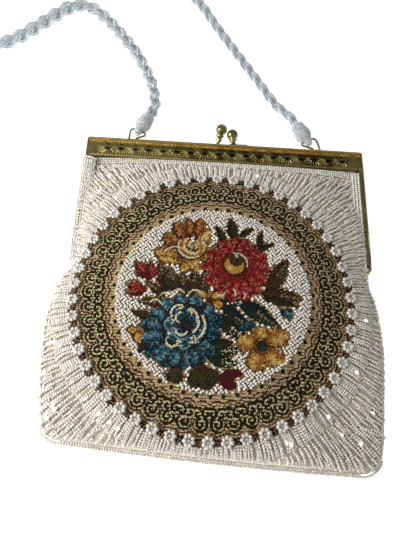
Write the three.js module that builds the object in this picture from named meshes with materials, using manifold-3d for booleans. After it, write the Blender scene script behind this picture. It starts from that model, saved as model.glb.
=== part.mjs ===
// Beaded evening bag lying on its back: a soft hollow pouch with a round tapestry medallion, a brass
// kiss-lock frame and a plaited strap of beaded cords.
// Millimetres. X runs to the bag's right, Y towards the frame, Z up out of the bag's front.
// The origin is the middle of the pouch's flat back, on the surface that the bag lies on.
import * as THREE from "three";
import { mergeVertices } from "three/addons/utils/BufferGeometryUtils.js";
import Module from "manifold-3d";

const wasm = await Module();
wasm.setup();

// Clearance between neighbouring pieces
const gap = 0.3;

// Frame: two bent brass channels that close against each other
const frameWidth = 188;
const frameTopY = 115;
const frameBandHeight = 15;
const frameArmLength = 85;
const frameArmWidth = 3;
const frameThickness = 12;
const framePlate = 1.2;
const frameFlange = 1.5;
const frameMidZ = 10;
const frameCornerRadius = 1.2;
const coveRadius = 1.5;
const coveInset = 1.9;
const stripRadius = 0.7;
const piercingPitch = 18.8;
const piercingSpread = 4.6;
const almondLength = 3.4;
const almondHeight = 1.9;
const almondFromTop = 8.4;
const slitLength = 2.9;
const slitHeight = 1.1;
const slitFromTop = 5.2;
const lugSpacing = 130;
const lugRadius = 3.4;
const lugHoleRadius = 1.8;
const lugRise = 3;
const lugThickness = 1.6;
const earRadius = 4;
const rivetRadius = 1;
const rivetHeadRadius = 2;
const rivetHead = 1;

// Pouch: its outer skin, measured over the cloth
const pouchLength = 189;
const pouchFrameOverlap = 4;
const pouchWall = 2;
const pouchCrown = 30.2;
const domeDrop = 6;
const domeRadius = 82;
const bottomSlant = 5;
const bottomBow = 1.5;
const bottomCorner = 8;
const bottomRise = 24;
const mouthRise = 30;
const sideSharpness = 5;
const backSharpness = 4;
const backFlattening = 1.08;
const sideSteps = 18;
const bodySteps = 14;
const neckSteps = 8;
const innerShare = 0.5;

// Pouch outline: reach to the left and right of the frame's centre as shares of the pouch's half
// width between the arms, at a share of the height from the bottom to just below the hinges
const outline = [
  { up: 0.0, left: 1.055, right: 0.985 },
  { up: 0.1, left: 1.08, right: 1.012 },
  { up: 0.3, left: 1.118, right: 1.038 },
  { up: 0.575, left: 1.137, right: 1.06 },
  { up: 0.77, left: 1.1, right: 1.047 },
  { up: 0.97, left: 1.0, right: 1.0 },
  { up: 1.0, left: 1.0, right: 1.0 },
];

// Dents in the pouch's front: place and radius as shares of its half width and length, depth as a
// share of its crown
const dents = [
  { across: 0.95, up: 0.57, radius: 0.13, depth: 0.09 },
  { across: -0.97, up: 0.6, radius: 0.12, depth: 0.07 },
  { across: 0.9, up: 0.9, radius: 0.16, depth: 0.06 },
  { across: -0.86, up: 0.93, radius: 0.15, depth: 0.05 },
  { across: 0.78, up: 0.1, radius: 0.16, depth: 0.06 },
  { across: -0.82, up: 0.12, radius: 0.15, depth: 0.05 },
];

// Bead piping along the pouch's bottom edge
const pipingRadius = 1.5;
const pipingReach = 0.94;
const pipingSides = 8;
const pipingSteps = 16;

// Tapestry medallion and the ring of rosettes round it
const medallionX = -5;
const medallionY = -1.5;
const medallionRadius = 78.4;
const medallionThickness = 1.2;
const medallionLift = 0.5;
const medallionSides = 44;
const medallionRings = [0.4, 0.66, 0.8, 0.9, 1.0];
const rosetteRadius = 82;
const rosetteCount = 50;
const rosetteWidth = 6.2;
const rosetteWaist = 3.6;
const rosetteHeight = 1.8;

// Kiss-lock clasp: one knob on each half of the frame
const knobBallRadius = 4;
const knobStemRadius = 2.4;
const knobSpread = 6;
const knobPlate = 1;
const knobPlateDepth = 4.6;
const knobPlateLength = 9;
const knobSides = 10;

// How far each knob stands up from its plate, and how far its top leans inward and over the other half
const knobStands = {
  left: { height: 20.5, leanX: 4.2, leanZ: 4.5 },
  right: { height: 16, leanX: 1.5, leanZ: 3.5 },
};

// Strap hardware
const ringWire = 0.8;
const ringSides = 6;
const ringBase = 11.2;
const ringSteps = 30;
const endLength = 20;
const endRadius = 5.9;
const endEyeInset = 4.2;
const endEyeClearance = 0.5;
const endSides = 14;
const endDrop = 1.6;

// Strap: three plaited cords of beads
const plaitPitch = 33;
const plaitHalfWidth = 4.5;
const plaitHalfHeight = 2.4;
const strandRadius = 1.55;
const strandSides = 5;
const crossingsPerPitch = 6;
const strapSettle = 26;

// How full the plait is along the strap, as shares of its length and of its full size
const plaitFullness = [
  [0, 0.7],
  [0.05, 0.7],
  [0.13, 0.85],
  [0.2, 1],
  [0.45, 1],
  [0.75, 0.75],
  [0.84, 0.6],
  [1, 0.58],
];

// Strap route on the surface, from the left end to the right one, chosen by hand
const strapRoute = [
  [-54.5, 145.1],
  [-52, 151.5],
  [-52.3, 160],
  [-54.4, 171],
  [-58.6, 183],
  [-68.8, 202.6],
  [-80.6, 219],
  [-92.6, 233.5],
  [-103.2, 243.8],
  [-112.5, 249],
  [-121.8, 248.6],
  [-131.3, 242.4],
  [-148, 224.8],
  [-164.6, 209],
  [-182, 200.6],
  [-200, 200],
  [-216, 208],
  [-227, 224],
  [-230, 246],
  [-224, 272],
  [-206, 300],
  [-178, 319],
  [-144, 326],
  [-110, 323],
  [-80, 311],
  [-55, 293],
  [-37.5, 276.5],
  [-22.9, 260.3],
  [-13, 243.6],
  [-1, 223.5],
  [11, 204],
  [23, 185.2],
  [34, 167.1],
  [41.2, 157.6],
  [46.9, 150.9],
  [50.6, 144.2],
];

// Sizes that follow from the ones above
const frameHalfWidth = frameWidth / 2;
const hingeY = frameTopY - frameArmLength;
const bandBottomY = frameTopY - frameBandHeight;
const halfThickness = (frameThickness - gap) / 2;
const mouthHalfWidth = frameHalfWidth - frameArmWidth - gap;
const mouthY = bandBottomY - gap;
const pouchBottomY = mouthY - pouchLength;
const neckUp = (hingeY - earRadius - gap - pouchBottomY) / pouchLength;
const mouthFrontZ = frameMidZ + frameThickness / 2 - framePlate - 2 * gap;
const mouthBackZ = frameMidZ - frameThickness / 2 + framePlate + gap;
const lugY = frameTopY + lugRise;
const lugZ = frameMidZ - halfThickness / 2 - gap / 2;
const plaitRest = plaitHalfHeight * Math.sin(Math.PI / 3) + strandRadius;
const plaitLift = 0.1;

const brass = new THREE.MeshStandardMaterial({ color: 0xb8933a, metalness: 1, roughness: 0.35 });
const beadedCloth = new THREE.MeshStandardMaterial({ color: 0xe9e2d3, roughness: 0.45 });
const tapestry = new THREE.MeshStandardMaterial({ color: 0xb59c6b, roughness: 0.8 });
const pearlBeads = new THREE.MeshStandardMaterial({ color: 0xf3f0e8, roughness: 0.3 });

const group = new THREE.Group();

function addMesh(name, geometry, material) {
  const mesh = new THREE.Mesh(geometry, material);
  mesh.name = name;
  group.add(mesh);
  return mesh;
}

// Geometry with shared vertices, as joining and cutting need it
function welded(geometry) {
  const bare = geometry.clone();
  bare.deleteAttribute("normal");
  bare.deleteAttribute("uv");
  return mergeVertices(bare, 1e-4);
}

function toSolid(geometry) {
  const merged = welded(geometry);
  return new wasm.Manifold(
    new wasm.Mesh({
      numProp: 3,
      vertProperties: new Float32Array(merged.attributes.position.array),
      triVerts: new Uint32Array(merged.index.array),
    }),
  );
}

function toGeometry(solid) {
  const mesh = solid.getMesh();
  const geometry = new THREE.BufferGeometry();
  geometry.setAttribute("position", new THREE.BufferAttribute(mesh.vertProperties, 3));
  geometry.setIndex(new THREE.BufferAttribute(mesh.triVerts, 1));
  geometry.computeVertexNormals();
  return geometry;
}

function boxSolid(low, high) {
  const size = high.map((value, i) => value - low[i]);
  const box = new THREE.BoxGeometry(...size);
  box.translate(...low.map((value, i) => value + size[i] / 2));
  return toSolid(box);
}

// Cylinder along X between two ends
function barSolid(radius, sides, from, to, y, z) {
  const bar = new THREE.CylinderGeometry(radius, radius, to - from, sides);
  bar.rotateZ(Math.PI / 2);
  bar.translate((from + to) / 2, y, z);
  return toSolid(bar);
}

// Closed surface through a ring of loops, each a closed ring of points: the last loop joins the first
function loopedGeometry(loops) {
  const positions = loops.flat().flatMap((p) => [p.x, p.y, p.z]);
  const around = loops[0].length;
  const index = [];
  loops.forEach((loop, i) => {
    const here = i * around;
    const next = ((i + 1) % loops.length) * around;
    for (let k = 0; k < around; k++) {
      const after = (k + 1) % around;
      index.push(here + k, here + after, next + after, here + k, next + after, next + k);
    }
  });
  const geometry = new THREE.BufferGeometry();
  geometry.setAttribute("position", new THREE.Float32BufferAttribute(positions, 3));
  geometry.setIndex(index);
  return geometry;
}

// Smooth value of a table's column, which never swings past its rows
function tableValue(rows, column, at) {
  const last = rows.length - 2;
  const row = Math.min(last, Math.max(0, rows.findIndex((r) => r.up > at) - 1));
  const i = at >= rows[last + 1].up ? last : row;
  const slope = (k) => (rows[k + 1][column] - rows[k][column]) / (rows[k + 1].up - rows[k].up);
  const tangent = (k) => {
    if (k < 1 || k > last) return 0;
    const product = slope(k - 1) * slope(k);
    return product <= 0 ? 0 : (2 * product) / (slope(k - 1) + slope(k));
  };
  const step = rows[i + 1].up - rows[i].up;
  const t = THREE.MathUtils.clamp((at - rows[i].up) / step, 0, 1);
  const rise = rows[i + 1][column] - rows[i][column];
  const smooth = t * t * (3 - 2 * t);
  const lead = t * (1 - t) * (1 - t) * step * tangent(i);
  const trail = t * t * (1 - t) * step * tangent(i + 1);
  return rows[i][column] + rise * smooth + lead - trail;
}

// Share of full height at a share of the way in from an edge
function rounded(share, power) {
  const inward = THREE.MathUtils.clamp(share, 0, 1);
  return Math.pow(1 - Math.pow(1 - inward, power), 1 / power);
}

// Reach of the pouch to one side at a share of its length, with its bottom corner rounded
function sideReach(column, up, inset) {
  const fromBottom = Math.min(up * pouchLength, bottomCorner);
  const corner = bottomCorner * (1 - rounded(fromBottom / bottomCorner, 2));
  return mouthHalfWidth * tableValue(outline, column, Math.min(up / neckUp, 1)) - corner - inset;
}

// Point data of the pouch's skin: across runs from -1 to 1, up from 0 at the bottom to 1 under the band
function pouchPoint(across, up, inset) {
  const left = sideReach("left", up, inset);
  const right = sideReach("right", up, inset);
  const x = (right - left) / 2 + (across * (right + left)) / 2;
  const bottom = pouchBottomY - bottomSlant * across + bottomBow * (across * across - 1) + inset;
  const y = bottom + up * (mouthY - bottom);
  const fromBottom = up * (mouthY - bottom);
  const fromMouth = mouthY - y;
  const seamZ = frameMidZ;
  const side = Math.pow(1 - Math.pow(Math.abs(across), sideSharpness), 1 / sideSharpness);
  const atBottom = rounded(fromBottom / bottomRise, 3);
  const atMouth = rounded(fromMouth / mouthRise, 2);
  const away = Math.hypot(x - medallionX, y - medallionY) / domeRadius;
  const dome = pouchCrown - domeDrop * away * away;
  const dent = dents.reduce((sum, d) => {
    const dx = (x - d.across * mouthHalfWidth) / mouthHalfWidth;
    const dy = (y - (pouchBottomY + d.up * pouchLength)) / pouchLength;
    const reach = (dx * dx + 4 * dy * dy) / (d.radius * d.radius);
    return sum + d.depth * pouchCrown * Math.exp(-reach);
  }, 0);
  const full = mouthFrontZ + (dome - dent * atMouth - mouthFrontZ) * atMouth;
  const frontRise = (full - seamZ) * atBottom;
  const backSide = Math.pow(1 - Math.pow(Math.abs(across), backSharpness), 1 / backSharpness);
  const backFull = mouthBackZ * (1 - atMouth);
  const backDepth = (seamZ - backFull) * atBottom * backFlattening;
  const frontThin = Math.max(0.05, 1 - inset / Math.max(frontRise, inset * 1.2));
  const backThin = Math.max(0.05, 1 - inset / Math.max(seamZ - backFull, inset * 1.2));
  const front = seamZ + frontRise * side * (inset ? frontThin : 1);
  const backReach = Math.min(backDepth * backSide, seamZ - backFull);
  return { x, y, front, back: seamZ - backReach * (inset ? backThin : 1) };
}

// Closed loop of the pouch's section: over the front, then back along the rear
function pouchLoop(up, inset, lift = 0) {
  const at = (i) => Math.sin(((2 * i) / sideSteps - 1) * (Math.PI / 2));
  const over = [];
  const under = [];
  for (let i = 0; i <= sideSteps; i++) {
    const p = pouchPoint(at(i), up, inset);
    over.push(new THREE.Vector3(p.x, p.y + lift, p.front));
    if (i > 0 && i < sideSteps) under.unshift(new THREE.Vector3(p.x, p.y + lift, p.back));
  }
  return [...over, ...under];
}

// Shares of the pouch's length that its sections stand at: closest at the bottom, the hinges and the mouth
function pouchStations(density) {
  const eased = (i, steps) => (1 - Math.cos((Math.PI * i) / steps)) / 2;
  const body = Math.round(bodySteps * density);
  const neck = Math.round(neckSteps * density);
  const stations = [];
  for (let i = 0; i < body; i++) stations.push(neckUp * eased(i, body));
  for (let i = 0; i <= neck; i++) stations.push(neckUp + (1 - neckUp) * eased(i, neck));
  return stations;
}

// The pouch: a hollow skin, open at the mouth between the two frame halves
function pouch() {
  return [
    ...pouchStations(1).map((up) => pouchLoop(up, 0)),
    pouchLoop(1, 0, pouchFrameOverlap),
    pouchLoop(1, pouchWall, pouchFrameOverlap),
    ...pouchStations(innerShare)
      .reverse()
      .map((up) => pouchLoop(up, pouchWall)),
  ];
}

// Open stack of loops, pinched shut along a line at its first and its last loop
function pinchedGeometry(loops) {
  const around = loops[0].length;
  const geometry = loopedGeometry(loops);
  const sides = (loops.length - 1) * around * 6;
  geometry.setIndex(Array.from(geometry.index.array).slice(0, sides));
  return geometry;
}

// Shares across and up the pouch of a place on its front
function pouchShares(x, y) {
  let across = 0;
  let up = 0.5;
  for (let pass = 0; pass < 6; pass++) {
    const bottom = pouchBottomY - bottomSlant * across + bottomBow * (across * across - 1);
    up = THREE.MathUtils.clamp((y - bottom) / (mouthY - bottom), 0, 1);
    const left = sideReach("left", up, 0);
    const right = sideReach("right", up, 0);
    across = THREE.MathUtils.clamp((2 * x - (right - left)) / (right + left), -0.999, 0.999);
  }
  return [across, up];
}

function onFront(x, y, lift) {
  const p = pouchPoint(...pouchShares(x, y), 0);
  return new THREE.Vector3(x, y, p.front + lift);
}

function roundMedallion(radius, angle, lift) {
  return onFront(medallionX + radius * Math.cos(angle), medallionY + radius * Math.sin(angle), lift);
}

// The medallion: a round of tapestry that follows the pouch's front
function medallionGeometry() {
  const positions = [];
  const index = [];
  const ringPoints = (lift) => {
    positions.push(roundMedallion(0, 0, lift));
    medallionRings.forEach((share) => {
      for (let k = 0; k < medallionSides; k++) {
        const angle = (2 * Math.PI * k) / medallionSides;
        positions.push(roundMedallion(share * medallionRadius, angle, lift));
      }
    });
  };
  ringPoints(medallionLift + medallionThickness);
  ringPoints(medallionLift);
  const half = 1 + medallionRings.length * medallionSides;
  const face = (a, b, c, under) => index.push(...(under ? [a + half, c + half, b + half] : [a, b, c]));
  for (const under of [false, true]) {
    for (let k = 0; k < medallionSides; k++) {
      const after = (k + 1) % medallionSides;
      face(0, 1 + k, 1 + after, under);
      for (let r = 1; r < medallionRings.length; r++) {
        const inner = 1 + (r - 1) * medallionSides;
        const outer = 1 + r * medallionSides;
        face(inner + k, outer + k, outer + after, under);
        face(inner + k, outer + after, inner + after, under);
      }
    }
  }
  const rim = 1 + (medallionRings.length - 1) * medallionSides;
  for (let k = 0; k < medallionSides; k++) {
    const here = rim + k;
    const after = rim + ((k + 1) % medallionSides);
    index.push(here, here + half, after + half, here, after + half, after);
  }
  const geometry = new THREE.BufferGeometry();
  const flat = positions.flatMap((p) => [p.x, p.y, p.z]);
  geometry.setAttribute("position", new THREE.Float32BufferAttribute(flat, 3));
  geometry.setIndex(index);
  return geometry;
}

// The string of rosettes: a closed low band with one lobe for each rosette
function rosetteLoops() {
  const loops = [];
  for (let k = 0; k < 2 * rosetteCount; k++) {
    const angle = Math.PI / 2 + (Math.PI * k) / rosetteCount;
    const half = (k % 2 ? rosetteWaist : rosetteWidth) / 2;
    const top = medallionLift + (k % 2 ? 0.55 : 1) * rosetteHeight;
    loops.push([
      roundMedallion(rosetteRadius - half, angle, medallionLift),
      roundMedallion(rosetteRadius - half * 0.55, angle, top),
      roundMedallion(rosetteRadius + half * 0.55, angle, top),
      roundMedallion(rosetteRadius + half, angle, medallionLift),
    ]);
  }
  return loops;
}

// A tube along a curve, stepped evenly by the curve's own parameter
function tubeGeometry(curve, radius, sides, steps) {
  const section = new THREE.Shape();
  for (let i = 0; i < sides; i++) {
    const angle = (2 * Math.PI * i) / sides;
    const point = [radius * Math.cos(angle), radius * Math.sin(angle)];
    if (i) section.lineTo(...point);
    else section.moveTo(...point);
  }
  return new THREE.ExtrudeGeometry(section, { steps, extrudePath: curve });
}

// Edge of the pouch's bottom, moved down by the piping's radius and the gap
class BottomEdge extends THREE.Curve {
  getPoint(t, target = new THREE.Vector3()) {
    const across = pipingReach * (2 * t - 1);
    const edge = pouchPoint(across, 0, 0);
    return target.set(edge.x, edge.y - pipingRadius - gap, frameMidZ);
  }
}

// Pierced outline of one almond or slit
function almondPath(x, y, length, height, sides) {
  const path = new THREE.Path();
  const points = [];
  for (let i = 0; i < sides; i++) {
    const angle = (2 * Math.PI * i) / sides;
    const slim = Math.abs(Math.sin(angle)) * (height / 2);
    points.push([x + (length / 2) * Math.cos(angle), y + Math.sign(Math.sin(angle)) * slim]);
  }
  path.moveTo(...points[0]);
  points.slice(1).forEach((p) => path.lineTo(...p));
  path.closePath();
  return path;
}

// U-shaped face of the frame: a band across the top and an arm down each side
function frameFaceShape(pierced) {
  const w = frameHalfWidth;
  const r = frameCornerRadius;
  const armX = w - frameArmWidth;
  const shape = new THREE.Shape();
  shape.moveTo(-w, hingeY);
  shape.lineTo(-armX, hingeY);
  shape.lineTo(-armX, bandBottomY);
  shape.lineTo(armX, bandBottomY);
  shape.lineTo(armX, hingeY);
  shape.lineTo(w, hingeY);
  shape.lineTo(w, frameTopY - r);
  shape.absarc(w - r, frameTopY - r, r, 0, Math.PI / 2, false);
  shape.lineTo(r - w, frameTopY);
  shape.absarc(r - w, frameTopY - r, r, Math.PI / 2, Math.PI, false);
  if (!pierced) return shape;
  const units = Math.floor((frameWidth - 2 * frameArmWidth) / piercingPitch);
  for (let i = 0; i < units; i++) {
    const middle = (i - (units - 1) / 2) * piercingPitch;
    for (const side of [-1, 1]) {
      const x = middle + side * piercingSpread;
      shape.holes.push(almondPath(x, frameTopY - almondFromTop, almondLength, almondHeight, 8));
      shape.holes.push(almondPath(x, frameTopY - slitFromTop, slitLength, slitHeight, 6));
    }
  }
  return shape;
}

// One half of the frame: side is 1 for the front half and -1 for the back half
function frameHalf(side, pierced) {
  const faceZ = frameMidZ + side * (frameThickness / 2);
  const plateZ = faceZ - side * framePlate;
  const partingZ = frameMidZ + (side * gap) / 2;
  const span = (a, b) => [Math.min(a, b), Math.max(a, b)];
  const face = new THREE.ExtrudeGeometry(frameFaceShape(pierced), {
    depth: framePlate,
    bevelEnabled: false,
    curveSegments: 3,
  });
  face.translate(0, 0, Math.min(faceZ, plateZ));
  let solid = toSolid(face);
  const [lowZ, highZ] = span(partingZ, faceZ - (side * framePlate) / 2);
  const flangeY = frameTopY - frameFlange;
  const flangeX = frameHalfWidth - frameCornerRadius;
  solid = solid.add(boxSolid([-flangeX, flangeY, lowZ], [flangeX, frameTopY, highZ]));
  const coveX = frameHalfWidth - frameCornerRadius;
  solid = solid.add(barSolid(coveRadius, 8, -coveX, coveX, frameTopY - coveInset, faceZ));
  const stripX = frameHalfWidth - frameArmWidth;
  solid = solid.add(barSolid(stripRadius, 6, -stripX, stripX, bandBottomY + stripRadius + gap, faceZ));
  const earThickness = (frameArmWidth - gap) / 2;
  for (const hand of [-1, 1]) {
    const [x0, x1] = span(hand * (frameHalfWidth - frameArmWidth), hand * frameHalfWidth);
    solid = solid.add(boxSolid([x0, hingeY, lowZ], [x1, frameTopY - frameCornerRadius, highZ]));
    const outer = side > 0 ? frameHalfWidth : frameHalfWidth - frameArmWidth + earThickness;
    const [e0, e1] = span(hand * (outer - earThickness), hand * outer);
    solid = solid.add(barSolid(earRadius, 14, e0, e1, hingeY, frameMidZ));
    const other = side > 0 ? frameHalfWidth - frameArmWidth : frameHalfWidth - earThickness - gap;
    const [c0, c1] = span(hand * other, hand * (other + earThickness + gap));
    const room = earRadius + gap;
    solid = solid.subtract(barSolid(room, 14, c0 - 0.01, c1 + 0.01, hingeY, frameMidZ));
    const [h0, h1] = [Math.min(x0, x1) - 1, Math.max(x0, x1) + 1];
    solid = solid.subtract(barSolid(rivetRadius + gap, 8, h0, h1, hingeY, frameMidZ));
  }
  return solid;
}

// Lug for a strap ring, soldered on the back half's top
function lugSolid(x) {
  const from = x - lugThickness / 2;
  const to = x + lugThickness / 2;
  const plate = barSolid(lugRadius, 14, from, to, lugY, lugZ);
  const hole = barSolid(lugHoleRadius, 8, from - 1, to + 1, lugY, lugZ);
  const top = boxSolid([from - 1, 0, 0], [to + 1, frameTopY - frameFlange / 2, 2 * frameMidZ]);
  return plate.subtract(hole).subtract(top);
}

// Rivet of a hinge, along X
function rivetGeometry(hand) {
  const inside = frameHalfWidth - frameArmWidth;
  const face = frameHalfWidth + gap;
  const ends = (a, b) => [Math.min(hand * a, hand * b), Math.max(hand * a, hand * b)];
  const shaft = barSolid(rivetRadius, 8, ...ends(inside, face + rivetHead / 2), hingeY, frameMidZ);
  const head = barSolid(rivetHeadRadius, 10, ...ends(face, face + rivetHead), hingeY, frameMidZ);
  return toGeometry(shaft.add(head));
}

// Clasp knob: a plate on the flange, a stem of stacked rings and a ball, leaning over the other half
function knobGeometry(hand, side) {
  const { height, leanX, leanZ } = hand < 0 ? knobStands.left : knobStands.right;
  const plateZ = frameMidZ + side * (halfThickness / 2 + gap / 2);
  const plateY = frameTopY + gap;
  const baseX = hand * knobSpread;
  const reach = hand > 0 ? knobPlateLength : knobPlateLength / 2;
  const low = [Math.min(baseX - 3, baseX + hand * reach), plateY, plateZ - knobPlateDepth / 2];
  const high = [Math.max(baseX + 3, baseX + hand * reach), plateY + knobPlate, plateZ + knobPlateDepth / 2];
  const s = knobStemRadius;
  const neck = height - 1.9 * knobBallRadius;
  const profile = [
    [0, 0],
    [s, 0],
    [s, 1.2],
    [s * 0.6, 2],
    [s * 0.5, neck * 0.35],
    [s * 0.75, neck * 0.6],
    [s * 0.9, neck * 0.68],
    [s * 0.7, neck * 0.76],
    [s * 1.1, neck * 0.84],
    [s * 1.1, neck * 0.94],
    [s * 0.8, neck],
  ];
  for (let i = 1; i < 8; i++) {
    const angle = Math.PI * (1 - i / 8) - 0.12;
    const y = height - knobBallRadius + knobBallRadius * Math.cos(angle);
    profile.push([knobBallRadius * Math.sin(angle), y]);
  }
  profile.push([0, height]);
  const knob = new THREE.LatheGeometry(profile.map((p) => new THREE.Vector2(...p)), knobSides);
  const lean = new THREE.Vector3(-hand * leanX, height, -side * leanZ).normalize();
  knob.applyQuaternion(new THREE.Quaternion().setFromUnitVectors(new THREE.Vector3(0, 1, 0), lean));
  knob.translate(baseX, plateY + knobPlate * 0.5, plateZ);
  const room = 2 * height;
  const above = boxSolid([baseX - room, plateY, 0], [baseX + room, plateY + room, 2 * frameMidZ]);
  return toGeometry(toSolid(knob).intersect(above).add(boxSolid(low, high)));
}

// Strap route as a level curve, and the smooth rise from the surface to each strap end
const routeCurve = new THREE.CatmullRomCurve3(
  strapRoute.map(([x, y]) => new THREE.Vector3(x, y, 0)),
  false,
  "centripetal",
);
const routeLength = routeCurve.getLength();
const plaitCount = Math.round(routeLength / plaitPitch);
const eyeZ = lugZ;
const endTailZ = eyeZ - endDrop;

// Fullness of the plait at a share of the strap's length, easing from one row of the table to the next
function fullnessAt(share) {
  const after = Math.max(plaitFullness.findIndex(([at]) => at >= share), 1);
  const [from, low] = plaitFullness[after - 1];
  const [to, high] = plaitFullness[after];
  return THREE.MathUtils.lerp(low, high, THREE.MathUtils.smoothstep(share, from, to));
}

function routePoint(share) {
  const point = routeCurve.getPointAt(THREE.MathUtils.clamp(share, 0, 1));
  const fromEnd = Math.min(share, 1 - share) * routeLength;
  const settled = THREE.MathUtils.smoothstep(fromEnd, 0, strapSettle);
  point.z = THREE.MathUtils.lerp(endTailZ, plaitRest * fullnessAt(share) + plaitLift, settled);
  return point;
}

// One cord of the plait
class PlaitedCord extends THREE.Curve {
  constructor(turn) {
    super();
    this.turn = turn;
  }
  getPoint(t, target = new THREE.Vector3()) {
    const phase = 2 * Math.PI * (t * plaitCount + this.turn) + Math.PI / 6;
    const along = routeCurve.getTangentAt(THREE.MathUtils.clamp(t, 0, 1));
    const across = new THREE.Vector3(-along.y, along.x, 0).normalize();
    const fullness = fullnessAt(t);
    target.copy(routePoint(t)).addScaledVector(across, fullness * plaitHalfWidth * Math.sin(phase));
    target.z += fullness * plaitHalfHeight * Math.sin(2 * phase);
    return target;
  }
  getUtoTmapping(u) {
    return u;
  }
}

// Solid of one cord: a closed tube that is as full as the plait
function cordGeometry(turn) {
  const curve = new PlaitedCord(turn);
  const steps = crossingsPerPitch * plaitCount;
  const frames = curve.computeFrenetFrames(steps, false);
  const positions = [];
  const triangles = [];
  for (let i = 0; i <= steps; i++) {
    const centre = curve.getPoint(i / steps);
    const radius = strandRadius * fullnessAt(i / steps);
    for (let j = 0; j < strandSides; j++) {
      const angle = (2 * Math.PI * j) / strandSides;
      const point = centre.clone().addScaledVector(frames.normals[i], radius * Math.cos(angle));
      point.addScaledVector(frames.binormals[i], radius * Math.sin(angle));
      positions.push(...point.toArray());
      const here = i * strandSides + j;
      const beside = i * strandSides + ((j + 1) % strandSides);
      if (i < steps) {
        triangles.push(here, beside, beside + strandSides);
        triangles.push(here, beside + strandSides, here + strandSides);
      }
    }
  }
  const end = steps * strandSides;
  for (let j = 1; j < strandSides - 1; j++) {
    triangles.push(0, j + 1, j);
    triangles.push(end, end + j, end + j + 1);
  }
  const geometry = new THREE.BufferGeometry();
  geometry.setAttribute("position", new THREE.BufferAttribute(new Float32Array(positions), 3));
  geometry.setIndex(triangles);
  return geometry;
}

// Where one strap end sits: its eye, its axis and the ring's base all follow the route's end
function endPlacement(hand) {
  const start = routePoint(hand < 0 ? 0 : 1);
  const inward = routeCurve.getTangentAt(hand < 0 ? 0 : 1).multiplyScalar(hand < 0 ? 1 : -1);
  const clearance = strandRadius * fullnessAt(hand < 0 ? 0 : 1) + gap;
  const tail = start.clone().addScaledVector(inward, -clearance);
  const lean = Math.sqrt(endLength ** 2 - endDrop ** 2);
  const tip = tail.clone().addScaledVector(inward, -lean);
  tip.z = eyeZ;
  return { tip, tail, axis: tail.clone().sub(tip).normalize(), inward };
}

// Strap end: the cords' ends bound with beads into a bulb, with an eye through its tip
function strapEndGeometry(hand) {
  const { tip, axis, inward } = endPlacement(hand);
  const r = endRadius;
  const profile = [
    [0, 0],
    [0.28 * r, 0],
    [0.4 * r, 0.05 * endLength],
    [0.62 * r, 0.24 * endLength],
    [r, 0.46 * endLength],
    [r, 0.62 * endLength],
    [0.88 * r, 0.84 * endLength],
    [0.84 * r, endLength],
    [0, endLength],
  ];
  const bulb = new THREE.LatheGeometry(profile.map((p) => new THREE.Vector2(...p)), endSides);
  bulb.applyQuaternion(new THREE.Quaternion().setFromUnitVectors(new THREE.Vector3(0, 1, 0), axis));
  bulb.translate(tip.x, tip.y, tip.z);
  const eye = new THREE.CylinderGeometry(ringWire + endEyeClearance, ringWire + endEyeClearance, 4 * r, 10);
  eye.rotateZ(Math.PI / 2);
  eye.rotateZ(Math.atan2(-inward.x, inward.y));
  const seat = tip.clone().addScaledVector(axis, endEyeInset);
  eye.translate(seat.x, seat.y, seat.z);
  return toGeometry(toSolid(bulb).subtract(toSolid(eye)));
}

// Ring: a rounded triangle of wire, its point through the lug and its base through the strap end's eye
class StrapRing extends THREE.Curve {
  constructor(hand) {
    super();
    const { tip, axis, inward } = endPlacement(hand);
    const seat = tip.clone().addScaledVector(axis, endEyeInset);
    const side = new THREE.Vector3(inward.y, -inward.x, 0);
    const lug = new THREE.Vector3((hand * lugSpacing) / 2, lugY, seat.z);
    const b = ringBase / 2;
    const place = (across, back) => seat.clone().addScaledVector(side, across).addScaledVector(inward, back);
    const point = (dx, dy) => new THREE.Vector3(lug.x + dx, lug.y + dy, lug.z);
    const aside = lugThickness / 2 + ringWire + gap;
    this.path = new THREE.CatmullRomCurve3(
      [
        place(-b * 0.66, 0),
        place(b * 0.66, 0),
        place(b, -1.2),
        point(aside + 0.4, lugRadius + 0.6),
        point(aside, 1.2),
        point(0, -0.5),
        point(-aside, 1.2),
        point(-aside - 0.4, lugRadius + 0.6),
        place(-b, -1.2),
      ],
      true,
      "centripetal",
    );
  }
  getPoint(t, target = new THREE.Vector3()) {
    return this.path.getPoint(t, target);
  }
}

// Closed tube of the ring's wire, which lies level
function ringLoops(hand) {
  const ring = new StrapRing(hand);
  const loops = [];
  for (let i = 0; i < ringSteps; i++) {
    const share = i / ringSteps;
    const centre = ring.getPointAt(share);
    const along = ring.getTangentAt(share);
    const across = new THREE.Vector3(along.y, -along.x, 0).normalize();
    const loop = [];
    for (let k = 0; k < ringSides; k++) {
      const angle = (2 * Math.PI * k) / ringSides;
      const point = centre.clone().addScaledVector(across, ringWire * Math.cos(angle));
      point.z -= ringWire * Math.sin(angle);
      loop.push(point);
    }
    loops.push(loop);
  }
  return loops;
}

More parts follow.
